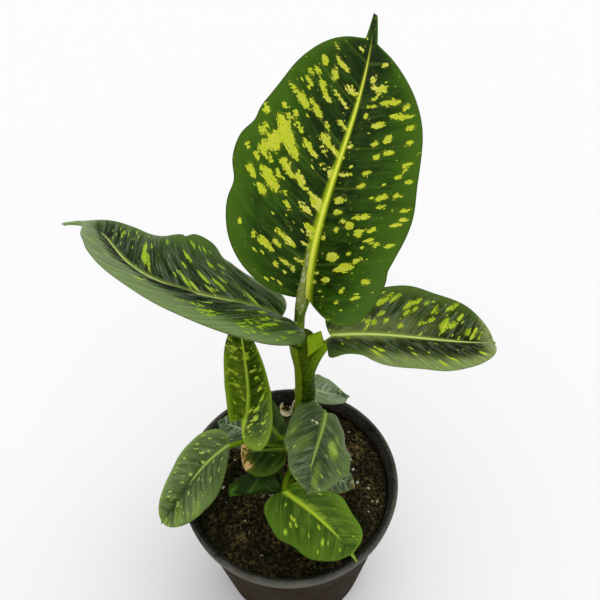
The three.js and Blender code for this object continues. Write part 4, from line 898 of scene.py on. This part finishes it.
def blade_mesh(name, leaf, seed, rows, columns):
    """Points, faces, face sides and attributes of one closed blade with a thin edge."""
    line = spine(leaf)
    tau = np.linspace(0, 1, rows + 1)
    t_rows = (1 - np.cos(np.pi * tau)) / 2 * 0.55 + tau * 0.45
    t_rows = np.where(tau < 0.25, t_rows * (0.35 + 0.65 * tau / 0.25), t_rows)
    s_columns = np.linspace(-1, 1, columns + 1)
    s_columns = np.sign(s_columns) * (0.75 * np.abs(s_columns) + 0.25 * np.abs(s_columns) ** 2)
    t, s = (grid.ravel() for grid in np.meshgrid(t_rows, s_columns, indexing="ij"))
    inset = sum((depth * np.exp(-((t - at) / spread) ** 2) * np.clip(s * edge, 0, 1) ** 2
                 for edge, at, spread, depth in NICKS.get(name, [])), np.zeros(len(t)))
    pulled_in = s * (1 - inset / np.maximum(half_width(leaf, t), 4))
    points, x, y = blade_points(leaf, line, t, pulled_in)
    normals = blade_normals(leaf, line, t, pulled_in)
    out = np.abs(s)
    rib_half = leaf["stalk"][1] * (1 - 0.86 * np.clip(t, 0, 1)) * 0.7
    relief, crest = relief_of(name, leaf, line, t, s, x, y, seed)
    rib_top = 0.5 * (1 - 0.7 * t) * np.clip(1 - (x / rib_half) ** 2, 0, 1)

    ring = np.clip(1 - out ** 6, 0, 1) * smoothstep(t, 0, 0.02) * (1 - smoothstep(t, 0.985, 1.0))
    upper = points + normals * (relief + (BLADE_THICKNESS / 2 + rib_top) * ring)[:, None]
    rib_under = RIB_DEPTH * (1 - 0.85 * t) * np.clip(1 - np.abs(x) / (1.5 * rib_half), 0, 1) ** 0.8
    lower = points + normals * (relief - (BLADE_THICKNESS / 2 + rib_under) * ring)[:, None]

    def index(i, j):
        return i * (columns + 1) + j

    rim = {index(i, 0) for i in range(rows + 1)} | {index(i, columns) for i in range(rows + 1)}
    rim |= {index(0, j) for j in range(columns + 1)} | {index(rows, j) for j in range(columns + 1)}
    count = len(points)
    first, last = index(0, 0), index(rows, 0)
    merge = np.arange(count)
    merge[[index(0, j) for j in range(columns + 1)]] = first
    merge[[index(rows, j) for j in range(columns + 1)]] = last
    below = np.arange(count) + count
    for i in rim:
        below[i] = merge[i]
    faces, sides = [], []
    for i in range(rows):
        for j in range(columns):
            ring_ids = [index(i, j), index(i, j + 1), index(i + 1, j + 1), index(i + 1, j)]
            top = list(dict.fromkeys(int(merge[k]) for k in ring_ids))
            if len(top) < 3:
                continue
            low = list(dict.fromkeys(int(below[k]) for k in ring_ids))
            faces.append(top)
            sides.append(0)
            faces.append(low[::-1])
            sides.append(1)
    used = sorted({k for face in faces for k in face})
    renumber = {old: new for new, old in enumerate(used)}
    faces = [[renumber[k] for k in face] for face in faces]
    all_points = np.concatenate([upper, lower])
    all_points[sorted(rim)] = points[sorted(rim)] + normals[sorted(rim)] * relief[sorted(rim), None]

    density = spots(leaf, line, t, s, [(*fleck, 1.0) for fleck in FLECKS.get(name, [])])
    vein_place = np.stack([x, y - vein_rise(leaf, x), np.full(count, seed * 37.0)], 1)
    blade_place = np.stack([t, s, density], 1)
    blade_form = np.stack([rib_half, damage_of(name, t, s, x), pale_and_painted_light_of(name, leaf, line, t, s, x)], 1)
    attributes = {
        "vein_place": np.concatenate([vein_place] * 2)[used],
        "blade_place": np.concatenate([blade_place] * 2)[used],
        "blade_form": np.concatenate([blade_form] * 2)[used],
        "blade_crest": np.concatenate([crest] * 2)[used],
    }
    return all_points[used], faces, sides, attributes


def evaluated(name, tree, ground, values):
    """A mesh object that holds what a Geometry Nodes tree makes of a mesh, the modifier gone."""
    carrier = bpy.data.objects.new(name + "_carrier", ground)
    bpy.context.scene.collection.objects.link(carrier)
    modifier = carrier.modifiers.new(name, "NODES")
    modifier.node_group = tree
    named = {item.name: item.identifier for item in tree.interface.items_tree}
    for key, value in values.items():
        modifier[named[key]] = value
    seen = carrier.evaluated_get(bpy.context.evaluated_depsgraph_get())
    piece = bpy.data.objects.new(name, bpy.data.meshes.new_from_object(seen))
    bpy.data.objects.remove(carrier)
    bpy.context.scene.collection.objects.link(piece)
    return piece


def sweep_tree():
    """Geometry Nodes that sweep a ring along a path: the path's points say the radius, and the skin
    keeps how far along and how far round each of its points lies."""
    tree = bpy.data.node_groups.new("stalk_sweep", "GeometryNodeTree")
    tree.interface.new_socket("Path", in_out="INPUT", socket_type="NodeSocketGeometry")
    tree.interface.new_socket("Sides", in_out="INPUT", socket_type="NodeSocketInt")
    tree.interface.new_socket("Finish", in_out="INPUT", socket_type="NodeSocketMaterial")
    tree.interface.new_socket("Stalk", in_out="OUTPUT", socket_type="NodeSocketGeometry")
    given = add(tree, "NodeGroupInput")
    path = add(tree, "GeometryNodeMeshToCurve", {"Mesh": given.outputs["Path"]})
    along_path = add(tree, "GeometryNodeSplineParameter")
    measured = add(tree, "GeometryNodeStoreNamedAttribute", {"Geometry": path, "Name": "run",
                                                             "Value": along_path.outputs["Length"]},
                   data_type="FLOAT", domain="POINT")
    ring = add(tree, "GeometryNodeCurvePrimitiveCircle", {"Resolution": given.outputs["Sides"],
                                                          "Radius": 1.0})
    along_ring = add(tree, "GeometryNodeSplineParameter")
    marked = add(tree, "GeometryNodeStoreNamedAttribute", {"Geometry": ring, "Name": "turn",
                                                           "Value": along_ring.outputs["Factor"]},
                 data_type="FLOAT", domain="POINT")
    radius = add(tree, "GeometryNodeInputNamedAttribute", {"Name": "radius"}, data_type="FLOAT")
    skin = add(tree, "GeometryNodeCurveToMesh", {"Curve": measured, "Profile Curve": marked, "Scale": radius,
                                                 "Fill Caps": True})
    real = add(tree, "GeometryNodeRealizeInstances", {"Geometry": skin})
    finished = add(tree, "GeometryNodeSetMaterial", {"Geometry": real, "Material": given.outputs["Finish"]})
    add(tree, "NodeGroupOutput", {"Stalk": finished})
    return tree


def swept(name, centres, radii, sides, material):
    """A round stalk along centres (mm), swept by Geometry Nodes. Returns the piece, its points in mm
    and, for each point, the station it belongs to and its angle round the stalk."""
    path = bpy.data.meshes.new(name + "_path")
    edges = [(i, i + 1) for i in range(len(centres) - 1)]
    path.from_pydata([tuple(p) for p in to_metres(centres)], edges, [])
    layer = path.attributes.new("radius", "FLOAT", "POINT")
    layer.data.foreach_set("value", (np.asarray(radii) * 0.001).astype(np.float32))
    tree = bpy.data.node_groups.get("stalk_sweep") or sweep_tree()
    piece = evaluated(name, tree, path, {"Sides": sides, "Finish": material})
    mesh = piece.data
    count = len(mesh.vertices)
    points, run, turn = (np.zeros(count * size, np.float32) for size in (3, 1, 1))
    mesh.vertices.foreach_get("co", points)
    mesh.attributes["run"].data.foreach_get("value", run)
    mesh.attributes["turn"].data.foreach_get("value", turn)
    station = np.arange(count) // sides
    angle = 2 * np.pi * turn
    place = np.stack([np.asarray(radii)[station] * np.minimum(angle, 2 * np.pi - angle), run * 1000,
                      np.zeros(count)], 1)
    mesh.polygons.foreach_set("use_smooth", np.full(len(mesh.polygons), True))
    return piece, points.reshape(-1, 3) * 1000.0, station, place


def reshape(piece, points, place):
    """Gives a swept stalk its last form (mm) and the place its finish is worked out from."""
    mesh = piece.data
    mesh.vertices.foreach_set("co", to_metres(points).astype(np.float32).ravel())
    layer = mesh.attributes.new("tube_place", "FLOAT_VECTOR", "POINT")
    layer.data.foreach_set("vector", place.astype(np.float32).ravel())
    mesh.update()


def smooth_line(stations, steps):
    """Centres and radii at even steps along a smooth line through (x, y, height over the rim, radius)."""
    stations = np.asarray(stations, float)
    span = np.linalg.norm(np.diff(stations[:, :3], axis=0), axis=1)
    at = np.concatenate([[0], np.cumsum(span)]) / span.sum()
    slope = np.gradient(stations, at, axis=0)
    u = np.linspace(0, 1, steps + 1)
    k = np.clip(np.searchsorted(at, u, side="right") - 1, 0, len(at) - 2)
    h = (at[k + 1] - at[k])[:, None]
    f = ((u - at[k]) / h[:, 0])[:, None]
    a, b, ma, mb = stations[k], stations[k + 1], slope[k] * h, slope[k + 1] * h
    line = ((2 * f**3 - 3 * f**2 + 1) * a + (f**3 - 2 * f**2 + f) * ma
            + (-2 * f**3 + 3 * f**2) * b + (f**3 - f**2) * mb)
    return line[:, :3] + np.array([0, 0, POT_HEIGHT]), line[:, 3]


def stalk_line(leaf):
    """Centre line of a leaf's stalk, from the stem to under the blade's base."""
    start = over_rim(leaf["root"])
    centre, tangent, normal, _ = spine(leaf)
    into = round(SPINE_STEPS * STALK_OVERLAP)
    end = centre[into] - normal[into] * leaf["stalk"][1] * 0.7
    reach = np.linalg.norm(end - start)
    lean = np.asarray(leaf["lean"], float)
    lean /= np.linalg.norm(lean)
    pull_in = start + lean * reach * leaf["pull"][0]
    pull_out = end - tangent[0] * reach * leaf["pull"][1]
    u = np.linspace(0, 1, STALK_STEPS + 1)[:, None]
    return ((1 - u)**3 * start + 3 * (1 - u)**2 * u * pull_in + 3 * (1 - u) * u**2 * pull_out + u**3 * end)


def join(name, pieces):
    """Makes one mesh object of several, the first one's materials first."""
    bpy.ops.object.select_all(action="DESELECT")
    for piece in pieces:
        piece.select_set(True)
    bpy.context.view_layer.objects.active = pieces[0]
    bpy.ops.object.join()
    pieces[0].name = name
    pieces[0].data.name = name
    return pieces[0]


def closed_sheet(name, middle, across, half, material, attributes=None):
    """A thin closed sheet: middle points in mm on an (n, m) grid, with the direction across it."""
    rows, columns = middle.shape[:2]
    points = np.concatenate([(middle + side * across * half).reshape(-1, 3) for side in (1, -1)])
    back = rows * columns
    faces = []
    for i in range(rows - 1):
        for j in range(columns - 1):
            a = i * columns + j
            faces.append([a, a + columns, a + columns + 1, a + 1])
            faces.append([back + a, back + a + 1, back + a + columns + 1, back + a + columns])
    border = [(i, 0) for i in range(rows)] + [(rows - 1, j) for j in range(1, columns)]
    border += [(i, columns - 1) for i in range(rows - 2, -1, -1)]
    border += [(0, j) for j in range(columns - 2, 0, -1)]
    ids = [i * columns + j for i, j in border]
    for a, b in zip(ids, ids[1:] + ids[:1]):
        faces.append([a, back + a, back + b, b])
    return make_piece(name, points, faces, [material], attributes=attributes)


def sheath_wing(material):
    """Thin green wing of the sheath between the stem's top and the right leaf's stalk."""
    wing = SHEATH_WING
    u, v = np.meshgrid(np.linspace(0, 1, 15), np.linspace(0, 1, 15), indexing="ij")
    low, high = (np.array(wing[edge]) for edge in ("low", "high"))
    flat = (((1 - v)[..., None] * low[0] + v[..., None] * low[1]) * (1 - u)[..., None]
            + ((1 - v)[..., None] * high[0] + v[..., None] * high[1]) * u[..., None])
    bow = wing["bow"] * np.sin(np.pi * u) * np.sin(np.pi * v)
    middle = np.stack([flat[..., 0], wing["y"] - bow, flat[..., 1] + POT_HEIGHT], 2)
    across = np.broadcast_to(np.array([0.0, 1.0, 0.0]), middle.shape)
    place = np.stack([u * 12, v * 16, np.full(u.shape, 0.5)], 2).reshape(-1, 3)
    return closed_sheet("sheath_wing", middle, across, wing["thickness"] / 2, material,
                        {"tube_place": np.concatenate([place, place])})


def leaf_piece(name, seed, blade, underside, stalk):
    """One leaf: blade and stalk in one mesh, standing for its solid."""
    leaf = LEAVES[name]
    rows = int(np.clip(leaf["length"] / BLADE_STEP, 44, 150))
    columns = 2 * int(np.clip(leaf["width"] / BLADE_STEP / 2, 14, 50))
    points, faces, sides, attributes = blade_mesh(name, leaf, seed, rows, columns)
    top = make_piece("blade", points, faces, [blade, underside], sides, attributes)
    u = np.linspace(0, 1, STALK_STEPS + 1)
    radii = leaf["stalk"][1] + (leaf["stalk"][0] - leaf["stalk"][1]) * (1 - u) ** 2
    radii[-4:] *= np.array([0.97, 0.85, 0.6, 0.3])
    foot, tube_points, station, place = swept("stalk", stalk_line(leaf), radii, STALK_SIDES, stalk)
    place[:, 2] = 0.08 + (0.6 if name in FULL_LEAVES else 0.25) * (station / STALK_STEPS) ** 1.5
    reshape(foot, tube_points, place)
    parts = [top, foot]
    if name == "leaf_right":
        parts.append(sheath_wing(stalk))
    piece = join("fine_" + name, parts)
    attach(piece, "root")
    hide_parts(name)
    return piece


# ---------------------------------------------------------------- pot, soil


def inner_radius(z):
    """Radius of the pot's inner wall at a height."""
    share = z / (POT_HEIGHT - RIM_HEIGHT)
    return POT_FLOOR_RADIUS + (POT_BODY_RADIUS - POT_FLOOR_RADIUS) * share - POT_WALL


def arc(centre, radius, start, stop, steps):
    """Points on an arc, from start to stop degrees."""
    angles = np.radians(np.linspace(start, stop, steps + 1))
    return [(centre[0] + radius * math.cos(a), centre[1] + radius * math.sin(a)) for a in angles]


def lathe(name, outline, turns, materials):
    """A closed solid of revolution from (radius, height) points that start and end on the axis."""
    points = [(0, 0, outline[0][1])]
    rings = outline[1:-1]
    for r, z in rings:
        points += [(r * math.cos(2 * math.pi * k / turns), r * math.sin(2 * math.pi * k / turns), z)
                   for k in range(turns)]
    points.append((0, 0, outline[-1][1]))
    faces = []
    for k in range(turns):
        nxt = (k + 1) % turns
        faces.append([0, 1 + nxt, 1 + k])
        for i in range(len(rings) - 1):
            a, b = 1 + i * turns + k, 1 + i * turns + nxt
            faces.append([a, b, b + turns, a + turns])
        low = 1 + (len(rings) - 1) * turns
        faces.append([low + k, low + nxt, len(points) - 1])
    return make_piece(name, points, faces, materials)


def make_pot():
    """The pot, turned from one outline, with its drain holes cut out. The outline runs from the middle of
    the underside up the wall, round the step, face and bead of the rim, and down the inside."""
    band = POT_HEIGHT - RIM_HEIGHT
    bead = RIM_RADIUS - RIM_BEAD
    outline = [(0, 0), (POT_FLOOR_RADIUS - FOOT_CHAMFER, 0)]
    outline += arc((POT_FLOOR_RADIUS - FOOT_CHAMFER, FOOT_CHAMFER), FOOT_CHAMFER, -90, 0, 5)[1:]
    steps = 24
    for i in range(1, steps):
        share = i / steps
        outline.append((POT_FLOOR_RADIUS + (POT_BODY_RADIUS - POT_FLOOR_RADIUS) * share,
                        FOOT_CHAMFER + (band - FOOT_CHAMFER) * share))
    outline += [(POT_BODY_RADIUS, band - 0.4), (POT_BODY_RADIUS + 0.3, band), (RIM_RADIUS - 1.3, band)]
    outline += arc((RIM_RADIUS - 0.8 - RIM_FILLET, band + RIM_FILLET), RIM_FILLET, -90, 0, 3)
    outline += [(RIM_RADIUS - 0.5, POT_HEIGHT - 2 * RIM_BEAD)]
    outline += arc((bead, POT_HEIGHT - RIM_BEAD), RIM_BEAD, 0, 180, 10)
    outline += [(inner_radius(band) + 0.6, POT_HEIGHT - 2 * RIM_BEAD)]
    for i in range(12):
        z = band - 1 - (band - 1 - POT_WALL) * i / 11
        outline.append((inner_radius(z), z))
    outline.append((0, POT_WALL))
    pot = lathe("fine_pot", outline, POT_TURNS, [pot_material()])
    cutters = []
    for i in range(DRAIN_HOLES):
        angle = 2 * math.pi * i / DRAIN_HOLES
        bpy.ops.mesh.primitive_cylinder_add(
            vertices=32, radius=DRAIN_HOLE_RADIUS * 0.001, depth=0.008,
            location=(DRAIN_CIRCLE_RADIUS * math.cos(angle) * 0.001,
                      DRAIN_CIRCLE_RADIUS * math.sin(angle) * 0.001, POT_WALL * 0.0005))
        cutters.append(bpy.context.object)
    cutter = join("drain_holes", cutters)
    boolean = pot.modifiers.new("drain holes", "BOOLEAN")
    boolean.operation = "DIFFERENCE"
    boolean.object = cutter
    boolean.solver = "EXACT"
    bpy.context.view_layer.objects.active = pot
    bpy.ops.object.modifier_apply(modifier=boolean.name)
    bpy.data.objects.remove(cutter)
    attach(pot, "root")
    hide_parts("pot")


def soil_height(x, y):
    """Height of the soil's lumpy top."""
    lumps = (np.sin(x * 0.21 + 1.3) * np.cos(y * 0.17 - 0.6) + 0.6 * np.sin(x * 0.47 - y * 0.39)
             + 0.4 * np.cos(x * 0.83 + y * 0.71))
    return POT_HEIGHT - SOIL_DEPTH + SOIL_LUMP / 2 * lumps


def make_soil():
    """The soil's body with a crumbly top, and the loose crumbs, coir fibres and perlite on it."""
    edge = inner_radius(POT_HEIGHT - SOIL_DEPTH - SOIL_LUMP) - CLEARANCE
    turns, rings = SOIL_TURNS, SOIL_RINGS
    rng = np.random.default_rng(5)
    points = [(0, 0, float(soil_height(0.0, 0.0)))]
    for i in range(1, rings + 1):
        for k in range(turns):
            angle = 2 * math.pi * k / turns
            r = edge * i / rings
            x, y = r * math.cos(angle), r * math.sin(angle)
            rough = rng.uniform(-0.45, 0.45) if i < rings else 0
            points.append((x, y, float(soil_height(x, y)) + rough))
    floor = POT_WALL + CLEARANCE
    for k in range(turns):
        angle = 2 * math.pi * k / turns
        r = inner_radius(floor) - CLEARANCE
        points.append((r * math.cos(angle), r * math.sin(angle), floor))
    points.append((0, 0, floor))
    faces = []
    for k in range(turns):
        nxt = (k + 1) % turns
        faces.append([0, 1 + k, 1 + nxt])
        for i in range(rings):
            a, b = 1 + i * turns + k, 1 + i * turns + nxt
            faces.append([a, a + turns, b + turns, b])
        low = 1 + rings * turns
        faces.append([low + k, len(points) - 1, low + nxt])
    mix = soil_material("moist peat and coir mix", "#14170a", "#4c4424")
    body = make_piece("fine_soil", points, faces, [mix])
    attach(body, "root")
    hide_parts("soil")

    top = bpy.data.objects.new("soil_top", bpy.data.meshes.new("soil_top"))
    keep = [f for f in faces if all(1 <= k <= (rings - 2) * turns for k in f)]
    top.data.from_pydata([tuple(p) for p in to_metres(points)], [], keep)
    bpy.context.scene.collection.objects.link(top)
    crumbs = soil_material("peat and bark crumbs", "#14150a", "#7c6c40")
    coir = grain_material("coir fibre", "#2c230e", "#5f4d2c", scale=90.0)
    perlite = grain_material("perlite", "#8e8c6c", "#dcdac6", scale=260.0)
    scatter(top, "soil_crumbs", crumbs, count=5200, size=(0.5, 1.5), squash=(1, 0.8, 0.6), seed=11)
    scatter(top, "coir_fibres", coir, count=320, size=(0.6, 1.7), squash=(3.2, 0.22, 0.2), seed=12)
    scatter(top, "perlite_grains", perlite, count=52, size=(0.7, 1.7), squash=(1, 0.85, 0.7), seed=13)
    bpy.data.objects.remove(top)


def scatter(ground, name, material, count, size, squash, seed):
    """Grains strewn over a mesh by Geometry Nodes, made real and kept as a plain mesh."""
    tree = bpy.data.node_groups.new(name, "GeometryNodeTree")
    tree.interface.new_socket("Ground", in_out="INPUT", socket_type="NodeSocketGeometry")
    for word in ("Grains per square metre", "Smallest grain", "Largest grain"):
        tree.interface.new_socket(word, in_out="INPUT", socket_type="NodeSocketFloat")
    tree.interface.new_socket("Grains", in_out="OUTPUT", socket_type="NodeSocketGeometry")
    given = add(tree, "NodeGroupInput")
    strewn = add(tree, "GeometryNodeDistributePointsOnFaces",
                 {"Mesh": given.outputs["Ground"], "Density": given.outputs["Grains per square metre"],
                  "Seed": seed})
    grain = add(tree, "GeometryNodeMeshIcoSphere", {"Radius": 0.001, "Subdivisions": 1})
    dents = add(tree, NOISE, {"Scale": 900.0})
    dent = add(tree, VECTOR_MATH, {0: dents.outputs["Color"], 1: (0.5, 0.5, 0.5)}, operation="SUBTRACT")
    dent_size = add(tree, VECTOR_MATH, {0: dent, "Scale": 0.0012}, operation="SCALE")
    knobbly = add(tree, "GeometryNodeSetPosition", {"Geometry": grain, "Offset": dent_size})
    shaped = add(tree, "GeometryNodeTransform", {"Geometry": knobbly, "Scale": squash})
    turned = add(tree, "FunctionNodeRandomValue", {"Max": (0.5, 0.5, 6.28), "Seed": seed + 1},
                 data_type="FLOAT_VECTOR")
    drawn = add(tree, "FunctionNodeRandomValue", {2: given.outputs["Smallest grain"],
                                                  3: given.outputs["Largest grain"], "Seed": seed + 2},
                data_type="FLOAT")
    placed = add(tree, "GeometryNodeInstanceOnPoints", {"Points": strewn, "Instance": shaped,
                                                        "Rotation": turned, "Scale": drawn})
    real = add(tree, "GeometryNodeRealizeInstances", {"Geometry": placed})
    finished = add(tree, "GeometryNodeSetMaterial", {"Geometry": real, "Material": material})
    add(tree, "NodeGroupOutput", {"Grains": finished})

    area = sum(face.area for face in ground.data.polygons)
    piece = evaluated(name, tree, ground.data, {
        "Grains per square metre": count / area, "Smallest grain": float(size[0]),
        "Largest grain": float(size[1])})
    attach(piece, "root")


# ---------------------------------------------------------------- stem, spear, dry sheath


def make_stem():
    """Cane of the stem, ringed by old leaf scars, with a sheath that still wraps the left of its top."""
    centres, radii = smooth_line(STEM_LINE, 220)
    stem, points, station, place = swept("fine_stem", centres, radii, 72,
                                         stalk_material("smooth green cane", "#1a3001", "#8aa41c"))
    height = centres[station, 2] - POT_HEIGHT
    out = points - centres[station]
    swell = sum(0.45 * np.exp(-((height - scar) / 2.2) ** 2) for scar in STEM_SCARS)
    angle = np.degrees(np.arctan2(out[:, 1], out[:, 0]))
    upper = smoothstep(height, SHEATH_FROM - 3, SHEATH_FROM + 1)
    wrapped = smoothstep(-angle, SHEATH_EDGE, SHEATH_EDGE + 5) + (angle > 60) * smoothstep(angle, 120, 170)
    wrapped = np.clip(wrapped, 0, 1) * upper
    length = np.linalg.norm(out, axis=1)
    points = points + out / length[:, None] * (swell + 0.3 * wrapped - 0.1 * upper)[:, None]
    # The cane's colour is painted lighter on its left side and toward its top, as painted light; it is also
    # lighter where the sheath wraps it.
    left = smoothstep(-out[:, 0] / length, -0.5, 0.9)
    lit_top = smoothstep(height, 60, 128)
    place[:, 2] = (0.05 + 0.35 * left) * (1 - upper) + upper * (0.02 + 0.4 * wrapped) + 0.12 * lit_top
    reshape(stem, points, place)
    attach(stem, "root")
    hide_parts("stem")


def make_spear():
    """The next leaf, still rolled: a turn of blade winding up out of its sheath."""
    centres, radii = smooth_line(SPEAR_LINE, 110)
    radii[-6:] *= np.linspace(0.9, 0.15, 6)
    spear, points, station, place = swept("fine_leaf_new", centres, radii, 48, spear_material())
    out = points - centres[station]
    angle = np.arctan2(out[:, 1], out[:, 0])
    along_it = place[:, 1]
    winding = (angle - 0.055 * along_it - 2.2) % (2 * np.pi)
    from_front = np.abs((angle + 1.5 * np.pi) % (2 * np.pi) - np.pi)
    mouth = SPEAR_FREE + 6 * from_front
    free = smoothstep(along_it, mouth - 1.3, mouth + 1.3)
    below = mouth - along_it
    seam = np.exp(-((angle + np.pi / 2 + 0.05 * below) / 0.12) ** 2) * smoothstep(below, 0, 2)
    free = np.maximum(free, 0.3 * seam)
    turned = 0.12 * winding / (2 * np.pi) - 0.06
    points = points + out * (free * turned + (1 - free) * 0.03)[:, None]
    place[:, 2] = free
    reshape(spear, points, place)
    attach(spear, "root")
    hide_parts("leaf_new")


def make_dry_sheath():
    """Strip of dead sheath round the back of the stem, its end curled away."""
    strip = DRY_SHEATH
    centre, radius, curl = strip["centre"], strip["radius"], strip["curl"]
    path = []
    for k in range(41):
        angle = math.radians(strip["start"] + (strip["stop"] - strip["start"]) * k / 40)
        path.append((centre[0] + radius * math.cos(angle), centre[1] + radius * math.sin(angle),
                     math.cos(angle), math.sin(angle)))
    for k in range(1, 31):
        angle = math.radians(strip["turn"] * k / 30)
        middle = (centre[0] - radius - curl, centre[1])
        path.append((middle[0] + curl * math.cos(angle), middle[1] + curl * math.sin(angle),
                     -math.cos(angle), -math.sin(angle)))
    x, y, across_x, across_y = np.array(path).T[:, :, None]
    share = np.linspace(0, 1, 5)[None, :]
    rng = np.random.default_rng(3)
    tall = strip["tall"] + rng.uniform(-0.5, 0.3, x.shape)
    bow = strip["bow"] * np.sin(np.pi * share)
    z = POT_HEIGHT + strip["height"] + tall * share
    middle = np.stack([x + across_x * bow, y + across_y * bow, z], 2)
    across = np.stack(np.broadcast_arrays(across_x, across_y, 0 * share), 2)
    sheath = closed_sheet("fine_dry_sheath", middle, across, strip["thickness"] / 2,
                          grain_material("dried leaf sheath", "#b9a878", "#e8e2c4", scale=220.0))
    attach(sheath, "root")
    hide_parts("dry_sheath")


# ---------------------------------------------------------------- leaves


def make_leaves():
    """All leaves but the new one, each with its own seed and the finish of its blade."""
    blades = {kind: blade_material(name, dict(zip(TONES, colours.split())), **settings)
              for kind, (name, colours, settings) in FINISHES.items()}
    underside = underside_material("pale leaf underside", "#4c6a2c", "#86a05c")
    dark_underside = underside_material("shaded leaf underside", "#070f02", "#4e7a20")
    stalk = stalk_material("smooth leaf stalk", "#223c06", "#aed422")
    for seed, (name, kind) in enumerate(WORN.items(), start=1):
        under = dark_underside if name == "leaf_rolled" else underside
        piece = leaf_piece(name, seed, blades[kind], under, stalk)


# ---------------------------------------------------------------- floor, light, camera


def make_camera():
    """The camera, where the photograph was taken from."""
    data = bpy.data.cameras.new("camera")
    data.angle = CAMERA_ANGLE
    data.clip_start = 0.01
    camera = bpy.data.objects.new("camera", data)
    pitch, roll = math.radians(CAMERA_PITCH), math.radians(CAMERA_ROLL)
    forward = Vector((0, math.cos(pitch), -math.sin(pitch)))
    level = Vector((1, 0, 0))
    up = level.cross(forward)
    right = level * math.cos(roll) + up * math.sin(roll)
    above = up * math.cos(roll) - level * math.sin(roll)
    turn = Matrix((right, above, -forward)).transposed()
    camera.matrix_world = Matrix.Translation(Vector(to_metres(over_rim(CAMERA_AT)))) @ turn.to_4x4()
    bpy.context.scene.collection.objects.link(camera)
    bpy.context.scene.camera = camera


def lamp(name, toward, **settings):
    """A distant light that comes from a direction, softer with a wider angle."""
    data = bpy.data.lights.new(name, "SUN")
    for key, value in settings.items():
        setattr(data, key, value)
    light = bpy.data.objects.new(name, data)
    light.location = toward
    light.rotation_euler = Vector(toward).to_track_quat("Z", "Y").to_euler()
    bpy.context.scene.collection.objects.link(light)


def make_studio():
    """A pale floor, two soft lights and an even grey-white sky."""
    material, _, shader = new_material("matt white paper sweep")
    fill(shader, {"Base Color": "#f8f8f8", "Roughness": 0.9, "Specular IOR Level": 0.1})
    corners = [(x * FLOOR_HALF, y * FLOOR_HALF, FLOOR_DROP) for x, y in ((-1, -1), (1, -1), (1, 1), (-1, 1))]
    floor = make_piece("floor", corners, [[0, 1, 2, 3]], [material])
    lamp("key, high behind on the right", (0.36, 0.48, 1.0), energy=1.2, angle=1.2)
    lamp("wide fill from the front left", (-0.5, -0.7, 1.6), energy=1.02, angle=2.4)
    world = bpy.data.worlds.new("studio")
    world.use_nodes = True
    fill(world.node_tree.nodes["Background"], {"Color": "#ffffff", "Strength": 0.43})
    bpy.context.scene.world = world
    bpy.context.scene.view_settings.view_transform = "Standard"


make_camera()
make_studio()
make_pot()
make_soil()
make_stem()
make_spear()
make_dry_sheath()
make_leaves()
